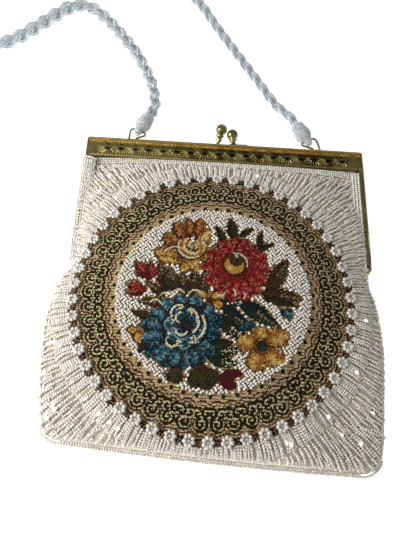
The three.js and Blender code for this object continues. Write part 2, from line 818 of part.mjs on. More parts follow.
addMesh("pouch", pinchedGeometry(pouch()), beadedCloth);
addMesh("bottom_piping", tubeGeometry(new BottomEdge(), pipingRadius, pipingSides, pipingSteps), pearlBeads);
addMesh("medallion", medallionGeometry(), tapestry);
addMesh("rosette_ring", loopedGeometry(rosetteLoops()), pearlBeads);
addMesh("frame_front", toGeometry(frameHalf(1, true)), brass);
const backHalf = frameHalf(-1, false).add(lugSolid(-lugSpacing / 2)).add(lugSolid(lugSpacing / 2));
addMesh("frame_back", toGeometry(backHalf), brass);
for (const [word, hand] of [["left", -1], ["right", 1]]) {
  addMesh("hinge_rivet_" + word, rivetGeometry(hand), brass);
  addMesh("clasp_knob_" + word, knobGeometry(hand, hand), brass);
  addMesh("strap_ring_" + word, loopedGeometry(ringLoops(hand)), brass);
  addMesh("strap_end_" + word, strapEndGeometry(hand), pearlBeads);
}
for (let i = 0; i < 3; i++) {
  addMesh("strap_cord_" + (i + 1), cordGeometry(i / 3), pearlBeads);
}

export default group;
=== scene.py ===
# Looks of a beaded evening bag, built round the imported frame. Lengths in the tables are millimetres.
import math

import bpy
import numpy as np
from mathutils import Matrix, Vector


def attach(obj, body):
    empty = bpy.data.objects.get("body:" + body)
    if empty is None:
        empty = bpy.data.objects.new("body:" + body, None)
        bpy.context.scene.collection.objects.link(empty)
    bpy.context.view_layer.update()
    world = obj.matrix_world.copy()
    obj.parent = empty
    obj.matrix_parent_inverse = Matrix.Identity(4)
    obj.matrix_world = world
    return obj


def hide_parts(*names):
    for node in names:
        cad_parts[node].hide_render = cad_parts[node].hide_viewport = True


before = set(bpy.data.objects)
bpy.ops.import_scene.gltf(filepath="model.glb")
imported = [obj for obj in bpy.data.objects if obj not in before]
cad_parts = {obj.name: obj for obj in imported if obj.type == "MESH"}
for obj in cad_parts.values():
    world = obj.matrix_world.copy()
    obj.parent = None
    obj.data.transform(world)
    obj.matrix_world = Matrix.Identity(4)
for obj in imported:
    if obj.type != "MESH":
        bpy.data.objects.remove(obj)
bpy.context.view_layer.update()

MM = 0.001
UP = (0.0, 0.0, 1.0)
rng = np.random.default_rng(7)

# Sizes shared with the part's source
GAP = 0.3
FRAME_WIDTH = 188.0
FRAME_TOP_Y = 115.0
FRAME_BAND = 15.0
FRAME_ARM = 85.0
FRAME_ARM_WIDTH = 3.0
FRAME_THICKNESS = 12.0
FRAME_PLATE = 1.2
FRAME_MID_Z = 10.0
EAR_RADIUS = 4.0
PIERCING_PITCH = 18.8
PIERCING_SPREAD = 4.6
POUCH_LENGTH = 189.0
POUCH_OVERLAP = 4.0
POUCH_CROWN = 30.2
DOME_DROP = 6.0
DOME_RADIUS = 82.0
BOTTOM_SLANT = 5.0
BOTTOM_BOW = 1.5
BOTTOM_CORNER = 8.0
BOTTOM_RISE = 24.0
MOUTH_RISE = 30.0
SIDE_SHARPNESS = 5.0
BACK_SHARPNESS = 4.0
BACK_FLATTENING = 1.08
MEDALLION = (-5.0, -1.5)
ROSETTE_RADIUS = 82.0
ROSETTES = 50
KNOB_BALL = 4.0
KNOB_STEM = 2.4
KNOB_SPREAD = 6.0
KNOB_PLATE = 1.0
KNOB_PLATE_DEPTH = 4.6
KNOB_PLATE_LENGTH = 9.0
END_LENGTH = 20.0
END_RADIUS = 5.9
END_DROP = 1.6
CORD_RADIUS = 1.55
PLAIT_PITCH = 33.0
STRAP_SETTLE = 26.0

OUTLINE_UP = np.array([0.0, 0.1, 0.3, 0.575, 0.77, 0.97, 1.0])
OUTLINE_LEFT = np.array([1.055, 1.08, 1.118, 1.137, 1.1, 1.0, 1.0])
OUTLINE_RIGHT = np.array([0.985, 1.012, 1.038, 1.06, 1.047, 1.0, 1.0])

# Dents of the front: across, up, radius, depth, as shares
DENTS = (
    (0.95, 0.57, 0.13, 0.09),
    (-0.97, 0.6, 0.12, 0.07),
    (0.9, 0.9, 0.16, 0.06),
    (-0.86, 0.93, 0.15, 0.05),
    (0.78, 0.1, 0.16, 0.06),
    (-0.82, 0.12, 0.15, 0.05),
)

# Strap route on the surface, from the left end to the right one
STRAP_ROUTE = (
    (-54.5, 145.1), (-52, 151.5), (-52.3, 160), (-54.4, 171), (-58.6, 183), (-68.8, 202.6), (-80.6, 219),
    (-92.6, 233.5), (-103.2, 243.8), (-112.5, 249), (-121.8, 248.6), (-131.3, 242.4), (-148, 224.8),
    (-164.6, 209), (-182, 200.6), (-200, 200), (-216, 208), (-227, 224), (-230, 246),
    (-224, 272), (-206, 300), (-178, 319), (-144, 326), (-110, 323), (-80, 311), (-55, 293),
    (-37.5, 276.5), (-22.9, 260.3), (-13, 243.6), (-1, 223.5), (11, 204), (23, 185.2), (34, 167.1),
    (41.2, 157.6), (46.9, 150.9), (50.6, 144.2),
)

# How full the plait is along the strap, as shares of its length and of its full size
PLAIT_FULLNESS = (
    (0.0, 0.7), (0.05, 0.7), (0.13, 0.85), (0.2, 1.0), (0.45, 1.0), (0.75, 0.75), (0.84, 0.6), (1.0, 0.58),
)

HALF_FRAME = FRAME_WIDTH / 2
HINGE_Y = FRAME_TOP_Y - FRAME_ARM
BAND_Y = FRAME_TOP_Y - FRAME_BAND
HALF_THICK = (FRAME_THICKNESS - GAP) / 2
BAND_FACE = FRAME_MID_Z + FRAME_THICKNESS / 2
MOUTH_HALF = HALF_FRAME - FRAME_ARM_WIDTH - GAP
MOUTH_Y = BAND_Y - GAP
BOTTOM_Y = MOUTH_Y - POUCH_LENGTH
NECK_UP = (HINGE_Y - EAR_RADIUS - GAP - BOTTOM_Y) / POUCH_LENGTH
MOUTH_FRONT = FRAME_MID_Z + FRAME_THICKNESS / 2 - FRAME_PLATE - 2 * GAP
MOUTH_BACK = FRAME_MID_Z - FRAME_THICKNESS / 2 + FRAME_PLATE + GAP


# The camera, fitted to the photograph's perspective
def add_camera():
    place = Vector((-20.5, -124.8, 343.9)) * MM
    right = Vector((0.99827, 0.0428, 0.04025))
    down = Vector((0.05553, -0.91116, -0.40829))
    ahead = right.cross(down)
    turn = Matrix((right, -down, -ahead)).transposed()
    data = bpy.data.cameras.new("camera")
    data.sensor_width = 36.0
    data.lens = 39.23
    data.clip_start = 0.01
    cam = bpy.data.objects.new("camera", data)
    cam.matrix_world = Matrix.Translation(place) @ turn.to_4x4()
    bpy.context.scene.collection.objects.link(cam)
    bpy.context.scene.camera = cam


# Form of the pouch

def table_value(values, at):
    """Smooth value of an outline column, which never swings past its rows."""
    at = np.minimum(at / NECK_UP, 1.0)
    step = np.diff(OUTLINE_UP)
    slope = np.diff(values) / step
    product = slope[:-1] * slope[1:]
    total = np.where(product > 0, slope[:-1] + slope[1:], 1.0)
    tangent = np.concatenate([[0.0], np.where(product > 0, 2 * product / total, 0.0), [0.0]])
    i = np.clip(np.searchsorted(OUTLINE_UP, at, side="right") - 1, 0, len(step) - 1)
    t = np.clip((at - OUTLINE_UP[i]) / step[i], 0, 1)
    rise = values[i + 1] - values[i]
    lead = t * (1 - t) ** 2 * step[i] * tangent[i]
    trail = t ** 2 * (1 - t) * step[i] * tangent[i + 1]
    return values[i] + rise * t * t * (3 - 2 * t) + lead - trail


def rounded(share, power):
    return (1 - (1 - np.clip(share, 0, 1)) ** power) ** (1 / power)


def side_reach(values, up):
    from_bottom = np.minimum(up * POUCH_LENGTH, BOTTOM_CORNER)
    corner = BOTTOM_CORNER * (1 - rounded(from_bottom / BOTTOM_CORNER, 2))
    return MOUTH_HALF * table_value(values, up) - corner


def bottom_edge(across):
    return BOTTOM_Y - BOTTOM_SLANT * across + BOTTOM_BOW * (across ** 2 - 1)


def pouch_point(across, up):
    """x, y, front z and back z of the pouch's skin at shares across and up it."""
    across, up = np.broadcast_arrays(np.asarray(across, float), np.asarray(up, float))
    left = side_reach(OUTLINE_LEFT, up)
    right = side_reach(OUTLINE_RIGHT, up)
    x = (right - left) / 2 + across * (right + left) / 2
    bottom = bottom_edge(across)
    y = bottom + up * (MOUTH_Y - bottom)
    side = (1 - np.abs(across) ** SIDE_SHARPNESS) ** (1 / SIDE_SHARPNESS)
    at_bottom = rounded(up * (MOUTH_Y - bottom) / BOTTOM_RISE, 3)
    at_mouth = rounded((MOUTH_Y - y) / MOUTH_RISE, 2)
    away = np.hypot(x - MEDALLION[0], y - MEDALLION[1]) / DOME_RADIUS
    dome = POUCH_CROWN - DOME_DROP * away ** 2
    dent = 0
    for d_across, d_up, radius, depth in DENTS:
        dx = (x - d_across * MOUTH_HALF) / MOUTH_HALF
        dy = (y - (BOTTOM_Y + d_up * POUCH_LENGTH)) / POUCH_LENGTH
        dent = dent + depth * POUCH_CROWN * np.exp(-(dx ** 2 + 4 * dy ** 2) / radius ** 2)
    full = MOUTH_FRONT + (dome - dent * at_mouth - MOUTH_FRONT) * at_mouth
    front = FRAME_MID_Z + (full - FRAME_MID_Z) * at_bottom * side
    back_side = (1 - np.abs(across) ** BACK_SHARPNESS) ** (1 / BACK_SHARPNESS)
    back_room = FRAME_MID_Z - MOUTH_BACK * (1 - at_mouth)
    back = FRAME_MID_Z - np.minimum(back_room * at_bottom * BACK_FLATTENING * back_side, back_room)
    return x, y, front, back


def pouch_shares(x, y):
    """Shares across and up the pouch of a place, past 1 where it lies outside."""
    across = np.zeros(np.broadcast(x, y).shape)
    for _ in range(8):
        bottom = bottom_edge(np.clip(across, -1, 1))
        up = (y - bottom) / (MOUTH_Y - bottom)
        level = np.clip(up, 0, 1)
        left = side_reach(OUTLINE_LEFT, level)
        right = side_reach(OUTLINE_RIGHT, level)
        across = (2 * x - (right - left)) / (right + left)
    return across, up


def front_height(x, y):
    across, up = pouch_shares(x, y)
    return pouch_point(np.clip(across, -1, 1), np.clip(up, 0, 1))[2]


def front_normal(x, y):
    step = 0.4
    dx = (front_height(x + step, y) - front_height(x - step, y)) / (2 * step)
    dy = (front_height(x, y + step) - front_height(x, y - step)) / (2 * step)
    n = np.stack([-dx, -dy, np.ones_like(dx)], -1)
    return n / np.linalg.norm(n, axis=-1, keepdims=True)


# Mesh making from arrays

def add_object(name, mesh, material, replaced=()):
    obj = bpy.data.objects.new(name, mesh)
    bpy.context.scene.collection.objects.link(obj)
    if material:
        obj.data.materials.append(material)
    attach(obj, "root")
    if replaced:
        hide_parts(*replaced)
    return obj


def mesh_from(name, points, faces, smooth=True):
    """Mesh of equal-sided faces from an array of points in millimetres."""
    mesh = bpy.data.meshes.new(name)
    points = np.asarray(points, np.float32) * MM
    faces = np.asarray(faces, np.int32)
    sides = faces.shape[1]
    mesh.vertices.add(len(points))
    mesh.vertices.foreach_set("co", points.ravel())
    mesh.loops.add(faces.size)
    mesh.loops.foreach_set("vertex_index", faces.ravel())
    mesh.polygons.add(len(faces))
    mesh.polygons.foreach_set("loop_start", np.arange(0, faces.size, sides, dtype=np.int32))
    mesh.polygons.foreach_set("use_smooth", np.full(len(faces), smooth))
    mesh.update(calc_edges=True)
    mesh.validate()
    return mesh


def grid_faces(rows, around, closed=False):
    """Quads of a grid of points, row after row, or of a tube of rings where it is closed."""
    index = np.arange(rows * around).reshape(rows, around)
    if closed:
        index = np.concatenate([index, index[:, :1]], 1)
    return np.stack([index[:-1, :-1], index[:-1, 1:], index[1:, 1:], index[1:, :-1]], -1).reshape(-1, 4)


def cap_faces(rows, around):
    """Fans of quads over both ends of a tube."""
    index = np.arange(rows * around).reshape(rows, around)
    return [[ring[0], ring[k], ring[k + 1], ring[k + 2]]
            for ring in (index[0], index[-1][::-1]) for k in range(1, around - 2, 2)]


def unit(vectors):
    return vectors / np.maximum(np.linalg.norm(vectors, axis=-1, keepdims=True), 1e-9)


def turns(count, start=0.0):
    return 2 * np.pi * (np.arange(count) + start) / count


def round_axis(axis, turn):
    """Directions square to an axis, one for each turn round it."""
    side = unit(np.cross(axis, UP))
    return np.outer(np.cos(turn), side) + np.outer(np.sin(turn), np.cross(side, axis))


def turned(profile, base, axis, sides):
    """Points and faces of a form turned round an axis, from rows of radius and run along it."""
    out = round_axis(axis, turns(sides))
    rings = [base + axis * run + out * max(radius, 0.01) for radius, run in profile]
    return np.concatenate(rings), grid_faces(len(rings), sides, closed=True)[:, [0, 3, 2, 1]]


def path_length(points):
    return np.concatenate([[0], np.cumsum(np.linalg.norm(np.diff(points, axis=0), axis=1))])


def at_length(points, length, wanted):
    return np.stack([np.interp(wanted, length, column) for column in points.T], -1)


def spaced(length, pitch):
    count = max(2, int(length[-1] / pitch))
    return (np.arange(count) + 0.5) * length[-1] / count


def resample(points, pitch):
    """Evenly spaced places along a path of points."""
    length = path_length(points)
    return at_length(points, length, spaced(length, pitch))


def row_along(points, pitch):
    """Evenly spaced places along a path of points, with their directions."""
    length = path_length(points)
    wanted = spaced(length, pitch)
    spots, tip, tail = (at_length(points, length, wanted + ahead) for ahead in (0, 0.3, -0.3))
    return spots, unit(tip - tail)


def ball():
    """Unit ball: an octahedron with each face split into four."""
    points = [Vector(p) for p in ((1, 0, 0), (0, 1, 0), (-1, 0, 0), (0, -1, 0), (0, 0, 1), (0, 0, -1))]
    middles = {}

    def middle(a, b):
        key = (min(a, b), max(a, b))
        if key not in middles:
            points.append(((points[a] + points[b]) / 2).normalized())
            middles[key] = len(points) - 1
        return middles[key]

    faces = []
    for k in range(4):
        after = (k + 1) % 4
        for a, b, c in ((k, after, 4), (after, k, 5)):
            ab, bc, ca = middle(a, b), middle(b, c), middle(c, a)
            faces += [(a, ab, ca), (ab, b, bc), (ca, bc, c), (ab, bc, ca)]
    return np.array([p[:] for p in points]), np.array(faces)


def drum(sides):
    """Unit seed bead: a short round drum, narrower at its ends, its hole's axis along X."""
    rings = ((-1.0, 0.55), (0.0, 1.0), (1.0, 0.55))
    turn = turns(sides)
    points = [np.stack([np.full(sides, x), r * np.cos(turn), r * np.sin(turn)], 1) for x, r in rings]
    faces = []
    for k in range(sides):
        after = (k + 1) % sides
        for ring in range(len(rings) - 1):
            a, b = ring * sides + k, ring * sides + after
            faces += [(a, b + sides, b), (a, a + sides, b + sides)]
    last = (len(rings) - 1) * sides
    for k in range(1, sides - 1):
        faces += [(0, k, k + 1), (last, last + k + 1, last + k)]
    return np.concatenate(points), np.array(faces)


SEED = drum(5)
SQUARE = drum(4)
ROUND = ball()


def scatter(shape, places, along, outward, sizes):
    """Points and faces of one shape repeated: along is its X axis, outward roughly its Z axis."""
    base, faces = shape
    x = unit(along)
    y = unit(np.cross(outward, x))
    z = np.cross(x, y)
    axes = np.stack([x, y, z], 1) * sizes[:, :, None]
    points = np.einsum("kj,njc->nkc", base, axes) + places[:, None, :]
    count = len(places)
    all_faces = faces[None] + (np.arange(count) * len(base))[:, None, None]
    return points.reshape(-1, 3), all_faces.reshape(-1, faces.shape[1])


def beads(name, places, along, outward, length, width, material, slot, replaced=(), shape=SEED):
    """One object of many beads, from arrays of places and of directions, or one direction for all.

    Each bead is length long on its thread and width across.
    """
    places, along, outward = (np.vstack(rows).astype(float) for rows in (places, along, outward))
    vary = np.clip(1 + 0.06 * rng.standard_normal((len(places), 1)), 0.87, 1.13)
    sizes = np.array([[length / 2, width / 2, width / 2]]) * vary
    points, faces = scatter(shape, places, along, outward, sizes)
    return add_object(name, mesh_from(name, points, faces), material, replaced)


# Materials

def srgb(r, g, b):
    shares = (c / 255 for c in (r, g, b))
    return tuple(c / 12.92 if c <= 0.04 else ((c + 0.055) / 1.055) ** 2.4 for c in shares) + (1,)


class Nodes:
    """Short hand for a material's node tree."""

    def __init__(self, name):
        self.material = bpy.data.materials.new(name)
        self.material.use_nodes = True
        self.tree = self.material.node_tree
        self.shader = self.tree.nodes["Principled BSDF"]
        self.place = self.new("ShaderNodeTexCoord").outputs["Object"]

    def new(self, kind, **values):
        node = self.tree.nodes.new(kind)
        for key, value in values.items():
            setattr(node, key, value)
        return node

    def link(self, out, into):
        self.tree.links.new(out, into)

    def feed(self, socket, value):
        if hasattr(value, "is_output"):
            self.link(value, socket)
        else:
            socket.default_value = value

    def set(self, **values):
        for key, value in values.items():
            self.feed(self.shader.inputs[key.replace("_", " ")], value)

    def noise(self, scale, detail=2.0, rough=0.5):
        node = self.new("ShaderNodeTexNoise")
        node.inputs["Scale"].default_value = scale
        node.inputs["Detail"].default_value = detail
        node.inputs["Roughness"].default_value = rough
        self.link(self.place, node.inputs["Vector"])
        return node.outputs["Fac"]

    def ramp(self, fac, *stops):
        node = self.new("ShaderNodeValToRGB")
        while len(node.color_ramp.elements) < len(stops):
            node.color_ramp.elements.new(0.5)
        for element, (at, colour) in zip(node.color_ramp.elements, stops):
            element.position = at
            element.color = colour
        self.link(fac, node.inputs["Fac"])
        return node.outputs["Color"]

    def mix(self, fac, a, b, blend="MIX"):
        node = self.new("ShaderNodeMix", data_type="RGBA", blend_type=blend)
        for socket, value in ((0, fac), (6, a), (7, b)):
            self.feed(node.inputs[socket], value)
        return node.outputs[2]

    def math(self, operation, a, b=0.0):
        node = self.new("ShaderNodeMath", operation=operation)
        for socket, value in zip(node.inputs, (a, b)):
            self.feed(socket, value)
        return node.outputs[0]

    def bump(self, height, strength, distance):
        node = self.new("ShaderNodeBump")
        node.inputs["Strength"].default_value = strength
        node.inputs["Distance"].default_value = distance
        self.link(height, node.inputs["Height"])
        self.link(node.outputs["Normal"], self.shader.inputs["Normal"])

    def wave(self, direction, scale, distortion=0.0):
        node = self.new("ShaderNodeTexWave", bands_direction=direction, wave_type="BANDS")
        node.inputs["Scale"].default_value = scale
        node.inputs["Distortion"].default_value = distortion
        self.link(self.place, node.inputs["Vector"])
        return node.outputs["Fac"]


def bead_material(name, light, shade, rough, painted_glow=0.0):
    """Pearl glass: slightly different from bead to bead, with a hard gloss, and where asked a painted glow
    that stands in for sparkle.
    """
    n = Nodes(name)
    tone = n.noise(520.0, 1.0)
    cloud = n.noise(35.0, 3.0)
    colour = n.ramp(tone, (0.32, srgb(*shade)), (0.62, srgb(*light)))
    colour = n.mix(n.math("MULTIPLY", cloud, 0.35), colour, srgb(*shade), "MULTIPLY")
    n.set(Base_Color=colour, Roughness=rough, IOR=1.52, Coat_Weight=0.35, Coat_Roughness=0.08)
    n.set(Subsurface_Weight=0.35, Subsurface_Radius=(1.0, 0.88, 0.74), Subsurface_Scale=0.0016)
    # Emission here is a painted glow: painted sparkle, since the beads are no lamp
    if painted_glow:
        n.set(Emission_Color=(1, 1, 1, 1), Emission_Strength=painted_glow)
    return n.material


def cloth_material(name, light, dark, weave):
    n = Nodes(name)
    cloud = n.noise(60.0, 4.0)
    colour = n.ramp(cloud, (0.3, srgb(*dark)), (0.7, srgb(*light)))
    warp = n.wave("X", weave)
    weft = n.wave("Y", weave)
    threads = n.math("ADD", warp, weft)
    colour = n.mix(n.math("MULTIPLY", threads, 0.25), colour, srgb(*dark))
    n.set(Base_Color=colour, Roughness=0.85, Sheen_Weight=0.2)
    n.bump(threads, 0.5, 0.0003)
    return n.material


def tapestry_material():
    """Woven stitches: the pattern's colours come with the mesh, the weave from nodes."""
    n = Nodes("tapestry_stitches")
    pattern = n.new("ShaderNodeAttribute", attribute_name="pattern").outputs["Color"]
    fibre = n.noise(900.0, 3.0)
    cloud = n.noise(45.0, 3.0)
    toned = n.mix(n.math("MULTIPLY", fibre, 0.5), pattern, srgb(70, 54, 38), "MULTIPLY")
    toned = n.mix(n.math("MULTIPLY", cloud, 0.18), toned, srgb(120, 100, 72), "MULTIPLY")
    n.set(Base_Color=toned, Roughness=0.8, Specular_IOR_Level=0.12)
    ribs = n.math("ADD", n.wave("Y", 285.0, 1.5), n.math("MULTIPLY", n.wave("X", 250.0, 1.0), 0.4))
    n.bump(ribs, 0.7, 0.00025)
    return n.material


def brass_material(name, bright, dull, rough):
    n = Nodes(name)
    patina = n.noise(180.0, 6.0, 0.6)
    colour = n.ramp(patina, (0.35, srgb(*dull)), (0.65, srgb(*bright)))
    smooth, matt = (rough,) * 3 + (1,), (rough + 0.2,) * 3 + (1,)
    worn = n.ramp(n.noise(260.0, 4.0), (0.3, smooth), (0.7, matt))
    n.set(Base_Color=colour, Metallic=1.0, Roughness=worn)
    n.bump(n.noise(900.0, 3.0), 0.35, 0.0002)
    return n.material


PEARL = bead_material("pearl_beads", (251, 247, 237), (224, 213, 196), 0.22)
GROUND_PEARL = bead_material("medallion_beads", (254, 250, 242), (226, 216, 200), 0.2)
GREY_PEARL = bead_material("rosette_beads", (236, 232, 222), (198, 194, 184), 0.15)
STRAP_PEARL = bead_material("strap_beads", (232, 238, 240), (192, 202, 208), 0.2)
# The crystal beads glow: a painted sparkle, not a lamp
CRYSTAL = bead_material("crystal_beads", (255, 255, 252), (236, 234, 226), 0.05, painted_glow=0.6)
CLOTH = cloth_material("pouch_cloth", (252, 246, 234), (236, 226, 208), 380.0)
TAPESTRY = tapestry_material()
ENGRAVED_BRASS = brass_material("engraved_brass", (255, 244, 190), (220, 198, 128), 0.3)
COVE_BRASS = brass_material("cove_brass", (250, 204, 100), (150, 100, 34), 0.26)
KNOB_BRASS = brass_material("knob_brass", (188, 174, 124), (84, 74, 44), 0.12)
RING_BRASS = brass_material("ring_brass", (206, 174, 96), (140, 112, 50), 0.2)
LIP_METAL = brass_material("lip_metal", (196, 192, 172), (126, 118, 92), 0.22)


# The pouch's cloth: the same closed shell, pulled in a little so that the beads sit in its place

CLOTH_SINK = 0.5
BACK_SINK = 1.3
CLOTH_STEPS_UP = 64
CLOTH_STEPS_OVER = 60
INSIDE_WIDTH = 0.975
INSIDE_DEPTH = 0.8
INSIDE_RISE = 2.5


def pouch_cloth():
    ups = (1 - np.cos(np.pi * np.linspace(0, 1, CLOTH_STEPS_UP))) / 2
    acrosses = np.sin(np.pi / 2 * np.linspace(-1, 1, CLOTH_STEPS_OVER))
    a, u = np.meshgrid(acrosses, ups)
    x, y, front, back = pouch_point(a, u)
    sink = CLOTH_SINK * (1 - np.abs(a) ** 8)
    over = np.stack([x, y, front - sink], -1)
    under = np.stack([x, y, np.maximum(back, BACK_SINK * (1 - np.abs(a) ** 12))], -1)[:, ::-1][:, 1:-1]
    loops = np.concatenate([over, under], 1)
    rim = loops[-1:] + [0, POUCH_OVERLAP, 0]
    loops = np.concatenate([loops, rim])
    inside = loops.copy()
    middle = inside.mean(1, keepdims=True)
    inside[:, :, 0] = middle[:, :, 0] + (inside[:, :, 0] - middle[:, :, 0]) * INSIDE_WIDTH
    inside[:, :, 2] = FRAME_MID_Z + (inside[:, :, 2] - FRAME_MID_Z) * INSIDE_DEPTH
    inside[:1, :, 1] += INSIDE_RISE
    loops = np.concatenate([loops, inside[::-1]])
    mesh = mesh_from("pouch_cloth", loops.reshape(-1, 3), grid_faces(*loops.shape[:2], closed=True))
    add_object("pouch_cloth", mesh, CLOTH, ("pouch",))


# Rays of raised bead strings round the medallion

FIELD_START = 83.9
FIELD_COURSES = 6
STRING_PITCH = 1.5
STRING_BEADS = 8
STRING_SPACING = 1.46
BEAD_LENGTH = 1.5
BEAD_WIDTH = 2.0
ARCH = 0.75
FIELD_TOP = 0.968
CROSSING = 0.13
CRYSTAL_SHARE = 0.04
CRYSTAL_CORNER_SHARE = 0.14
CRYSTAL_CORNER_Y = -55
CRYSTAL_BEAD = (2.0, 2.3)
CRYSTAL_RISE = 0.9
RAY_STRAY = 0.003
STRING_STRAY = 1.2
FIRST_CROSSING = 0.03
LEAN = 0.5
BEAD_SINK = 0.35


def ray_profile(angles):
    """Points along rays from the medallion over the front to the outline, with their lengths."""
    rho = np.arange(FIELD_START, 148.0, 0.35)
    x = MEDALLION[0] + np.outer(np.cos(angles), rho)
    y = MEDALLION[1] + np.outer(np.sin(angles), rho)
    across, up = pouch_shares(x, y)
    inside = (np.abs(across) < 0.9995) & (up > 0.006) & (up < FIELD_TOP)
    inside = np.cumprod(inside, axis=1).astype(bool)
    z = pouch_point(np.clip(across, -1, 1), np.clip(up, 0, 1))[2]
    points = np.stack([x, y, z], -1)
    step = np.linalg.norm(np.diff(points, axis=1), axis=-1)
    length = np.concatenate([np.zeros((len(angles), 1)), np.cumsum(step, 1)], 1)
    reach = np.where(inside, length, 0).max(1)
    return points, length, reach


def field_beads():
    """Courses of arched strings, laid like bricks, each course with rays of its own."""
    places, along, outward, stones = [], [], [], []
    course_length = STRING_BEADS * STRING_PITCH + 0.2
    start = 0.0
    for course in range(FIELD_COURSES):
        radius = FIELD_START + start + course_length / 2
        count = int(2 * np.pi * radius / STRING_SPACING)
        angles = 2 * np.pi * (np.arange(count) + 0.5 * (course % 2)) / count
        angles = angles + rng.normal(0, RAY_STRAY, count)
        points, length, reach = ray_profile(angles)
        lean = rng.normal(0, LEAN, count)
        tilt = rng.normal(0, CROSSING if course > 1 else FIRST_CROSSING, count)
        for k in range(count):
            begin = start + rng.uniform(-STRING_STRAY, STRING_STRAY)
            begin += 0.5 * course_length if k % 2 and course else 0.0
            room = reach[k] - begin
            number = min(STRING_BEADS, int(room / STRING_PITCH + 0.4))
            if number < 1:
                continue
            share = (np.arange(number) + 0.5) / number
            base = at_length(points[k], length[k], begin + STRING_PITCH * (np.arange(number) + 0.5))
            ahead = at_length(points[k], length[k], begin + STRING_PITCH * (np.arange(number) + 1.0))
            forward = unit(ahead - base + 1e-6)
            side = unit(np.cross(UP, forward))
            normal = unit(np.cross(forward, side))
            rise = BEAD_WIDTH / 2 - BEAD_SINK + ARCH * np.sin(np.pi * share) * (number / STRING_BEADS)
            lateral = lean[k] * np.sin(np.pi * share) + 0.25 * lean[k]
            lateral = lateral + tilt[k] * (share - 0.5) * number * STRING_PITCH
            spot = base + normal * rise[:, None] + side * lateral[:, None]
            half = number // 2
            lower_left = spot[half, 0] < MEDALLION[0] and spot[half, 1] < CRYSTAL_CORNER_Y
            chance = CRYSTAL_CORNER_SHARE if lower_left else CRYSTAL_SHARE
            if number == STRING_BEADS and rng.random() < chance:
                stones.append((spot[half] + normal[half] * CRYSTAL_RISE, forward[half], normal[half]))
            slope = ARCH * np.pi / (number * STRING_PITCH) * np.cos(np.pi * share)
            tangent = forward + normal * slope[:, None] + side * tilt[k]
            places.append(spot)
            along.append(tangent)
            outward.append(normal)
        start += course_length
    beads("field_beads", places, along, outward, BEAD_LENGTH, BEAD_WIDTH, PEARL, "pearl_beads")
    beads("field_crystals", *zip(*stones), *CRYSTAL_BEAD, CRYSTAL, "pearl_beads", shape=SQUARE)


# Rows of beads along edges

ROW_PITCH = 1.5
EDGE_BEAD = (1.5, 1.75)
RIM_BEAD = (1.5, 1.8)
PIPING_BEAD = (1.5, 1.9)
PIPING_SPREAD = 0.95
PIPING_OUT = 1.2
EDGE_INSETS = (1.2, 2.9, 4.6)
EDGE_RISE = 0.9
RIM_BOTTOM_UP = 0.00025
RIM_SHARES = (-0.999, -0.985, 0.999, 0.985)
CORNER_STEPS = 16
ARM_TOP = 98.0
ARM_REACH = 4.6
ARM_RISE = 1.2
ARM_ROWS = ((-4.6, 0.9), (-2.8, 0.4), (-1.0, 0.1))


def edge_rows():
    places, along = [], []
    for inset in EDGE_INSETS:
        x = np.linspace(MOUTH_HALF - inset, inset - MOUTH_HALF, 80)
        y = np.full(len(x), MOUTH_Y - inset)
        spots, ways = row_along(np.stack([x, y, front_height(x, y) + EDGE_RISE], 1), ROW_PITCH)
        places.append(spots)
        along.append(ways)
    beads("edge_rows", places, along, [UP], *EDGE_BEAD, PEARL, "pearl_beads")


def wall_rows():
    """Rows of beads along the bottom edge and down the sides, on the steep rim of the front."""
    side_up = np.linspace(0.012, NECK_UP - 0.02, 120)
    rows = [(np.linspace(-0.97, 0.97, 160), RIM_BOTTOM_UP)] + [(share, side_up) for share in RIM_SHARES]
    places, along, outward = [], [], []
    for across, up in rows:
        x, y, front, _ = pouch_point(across, up)
        spots, ways = row_along(np.stack([x, y, front], 1), ROW_PITCH)
        side = unit(np.cross(ways, UP))
        side = side * np.sign(np.sum(side * spots, 1))[:, None]
        out = unit(side + [0.0, 0.0, 0.45])
        places.append(spots + out * 0.55)
        along.append(ways)
        outward.append(out)
    beads("rim_rows", places, along, outward, *RIM_BEAD, PEARL, "pearl_beads")


def arm_strings():
    """Rows of beads beside the right arm, and strings that puff out over the left one."""
    places, along = [], []
    for out, sink in ARM_ROWS:
        y = np.arange(HINGE_Y - 4, ARM_TOP, ROW_PITCH)
        y = y + rng.normal(0, 0.05, len(y))
        places.append(np.stack([0 * y + MOUTH_HALF + out, y, 0 * y + BAND_FACE + ARM_RISE - sink], 1))
        along.append(np.tile([0.0, 1.0, 0.0], (len(y), 1)))
    count = int(2 * ARM_REACH / STRING_PITCH)
    share = (np.arange(count) + 0.5) / count
    for y in np.arange(HINGE_Y - 8, ARM_TOP, 1.45):
        out = rng.uniform(-0.8, 0.2) - ARM_REACH + STRING_PITCH * count * share
        bend = rng.normal(0, 0.2) * np.sin(np.pi * share)
        fan = (y - MEDALLION[1]) / 100
        past = np.maximum(0, out - 1.5)
        drop = 0.16 * past ** 2 + 0.12 * np.maximum(0, -2.0 - out) ** 2
        height = BAND_FACE + ARM_RISE + 0.5 * np.abs(bend) - drop
        places.append(np.stack([-MOUTH_HALF - out, y + 0.22 * fan * out + bend, height], 1))
        along.append(np.stack([-np.ones(count), np.full(count, 0.2 * fan), -0.3 * past], 1))
    beads("arm_strings", places, along, [UP], BEAD_LENGTH, BEAD_WIDTH, PEARL, "pearl_beads")


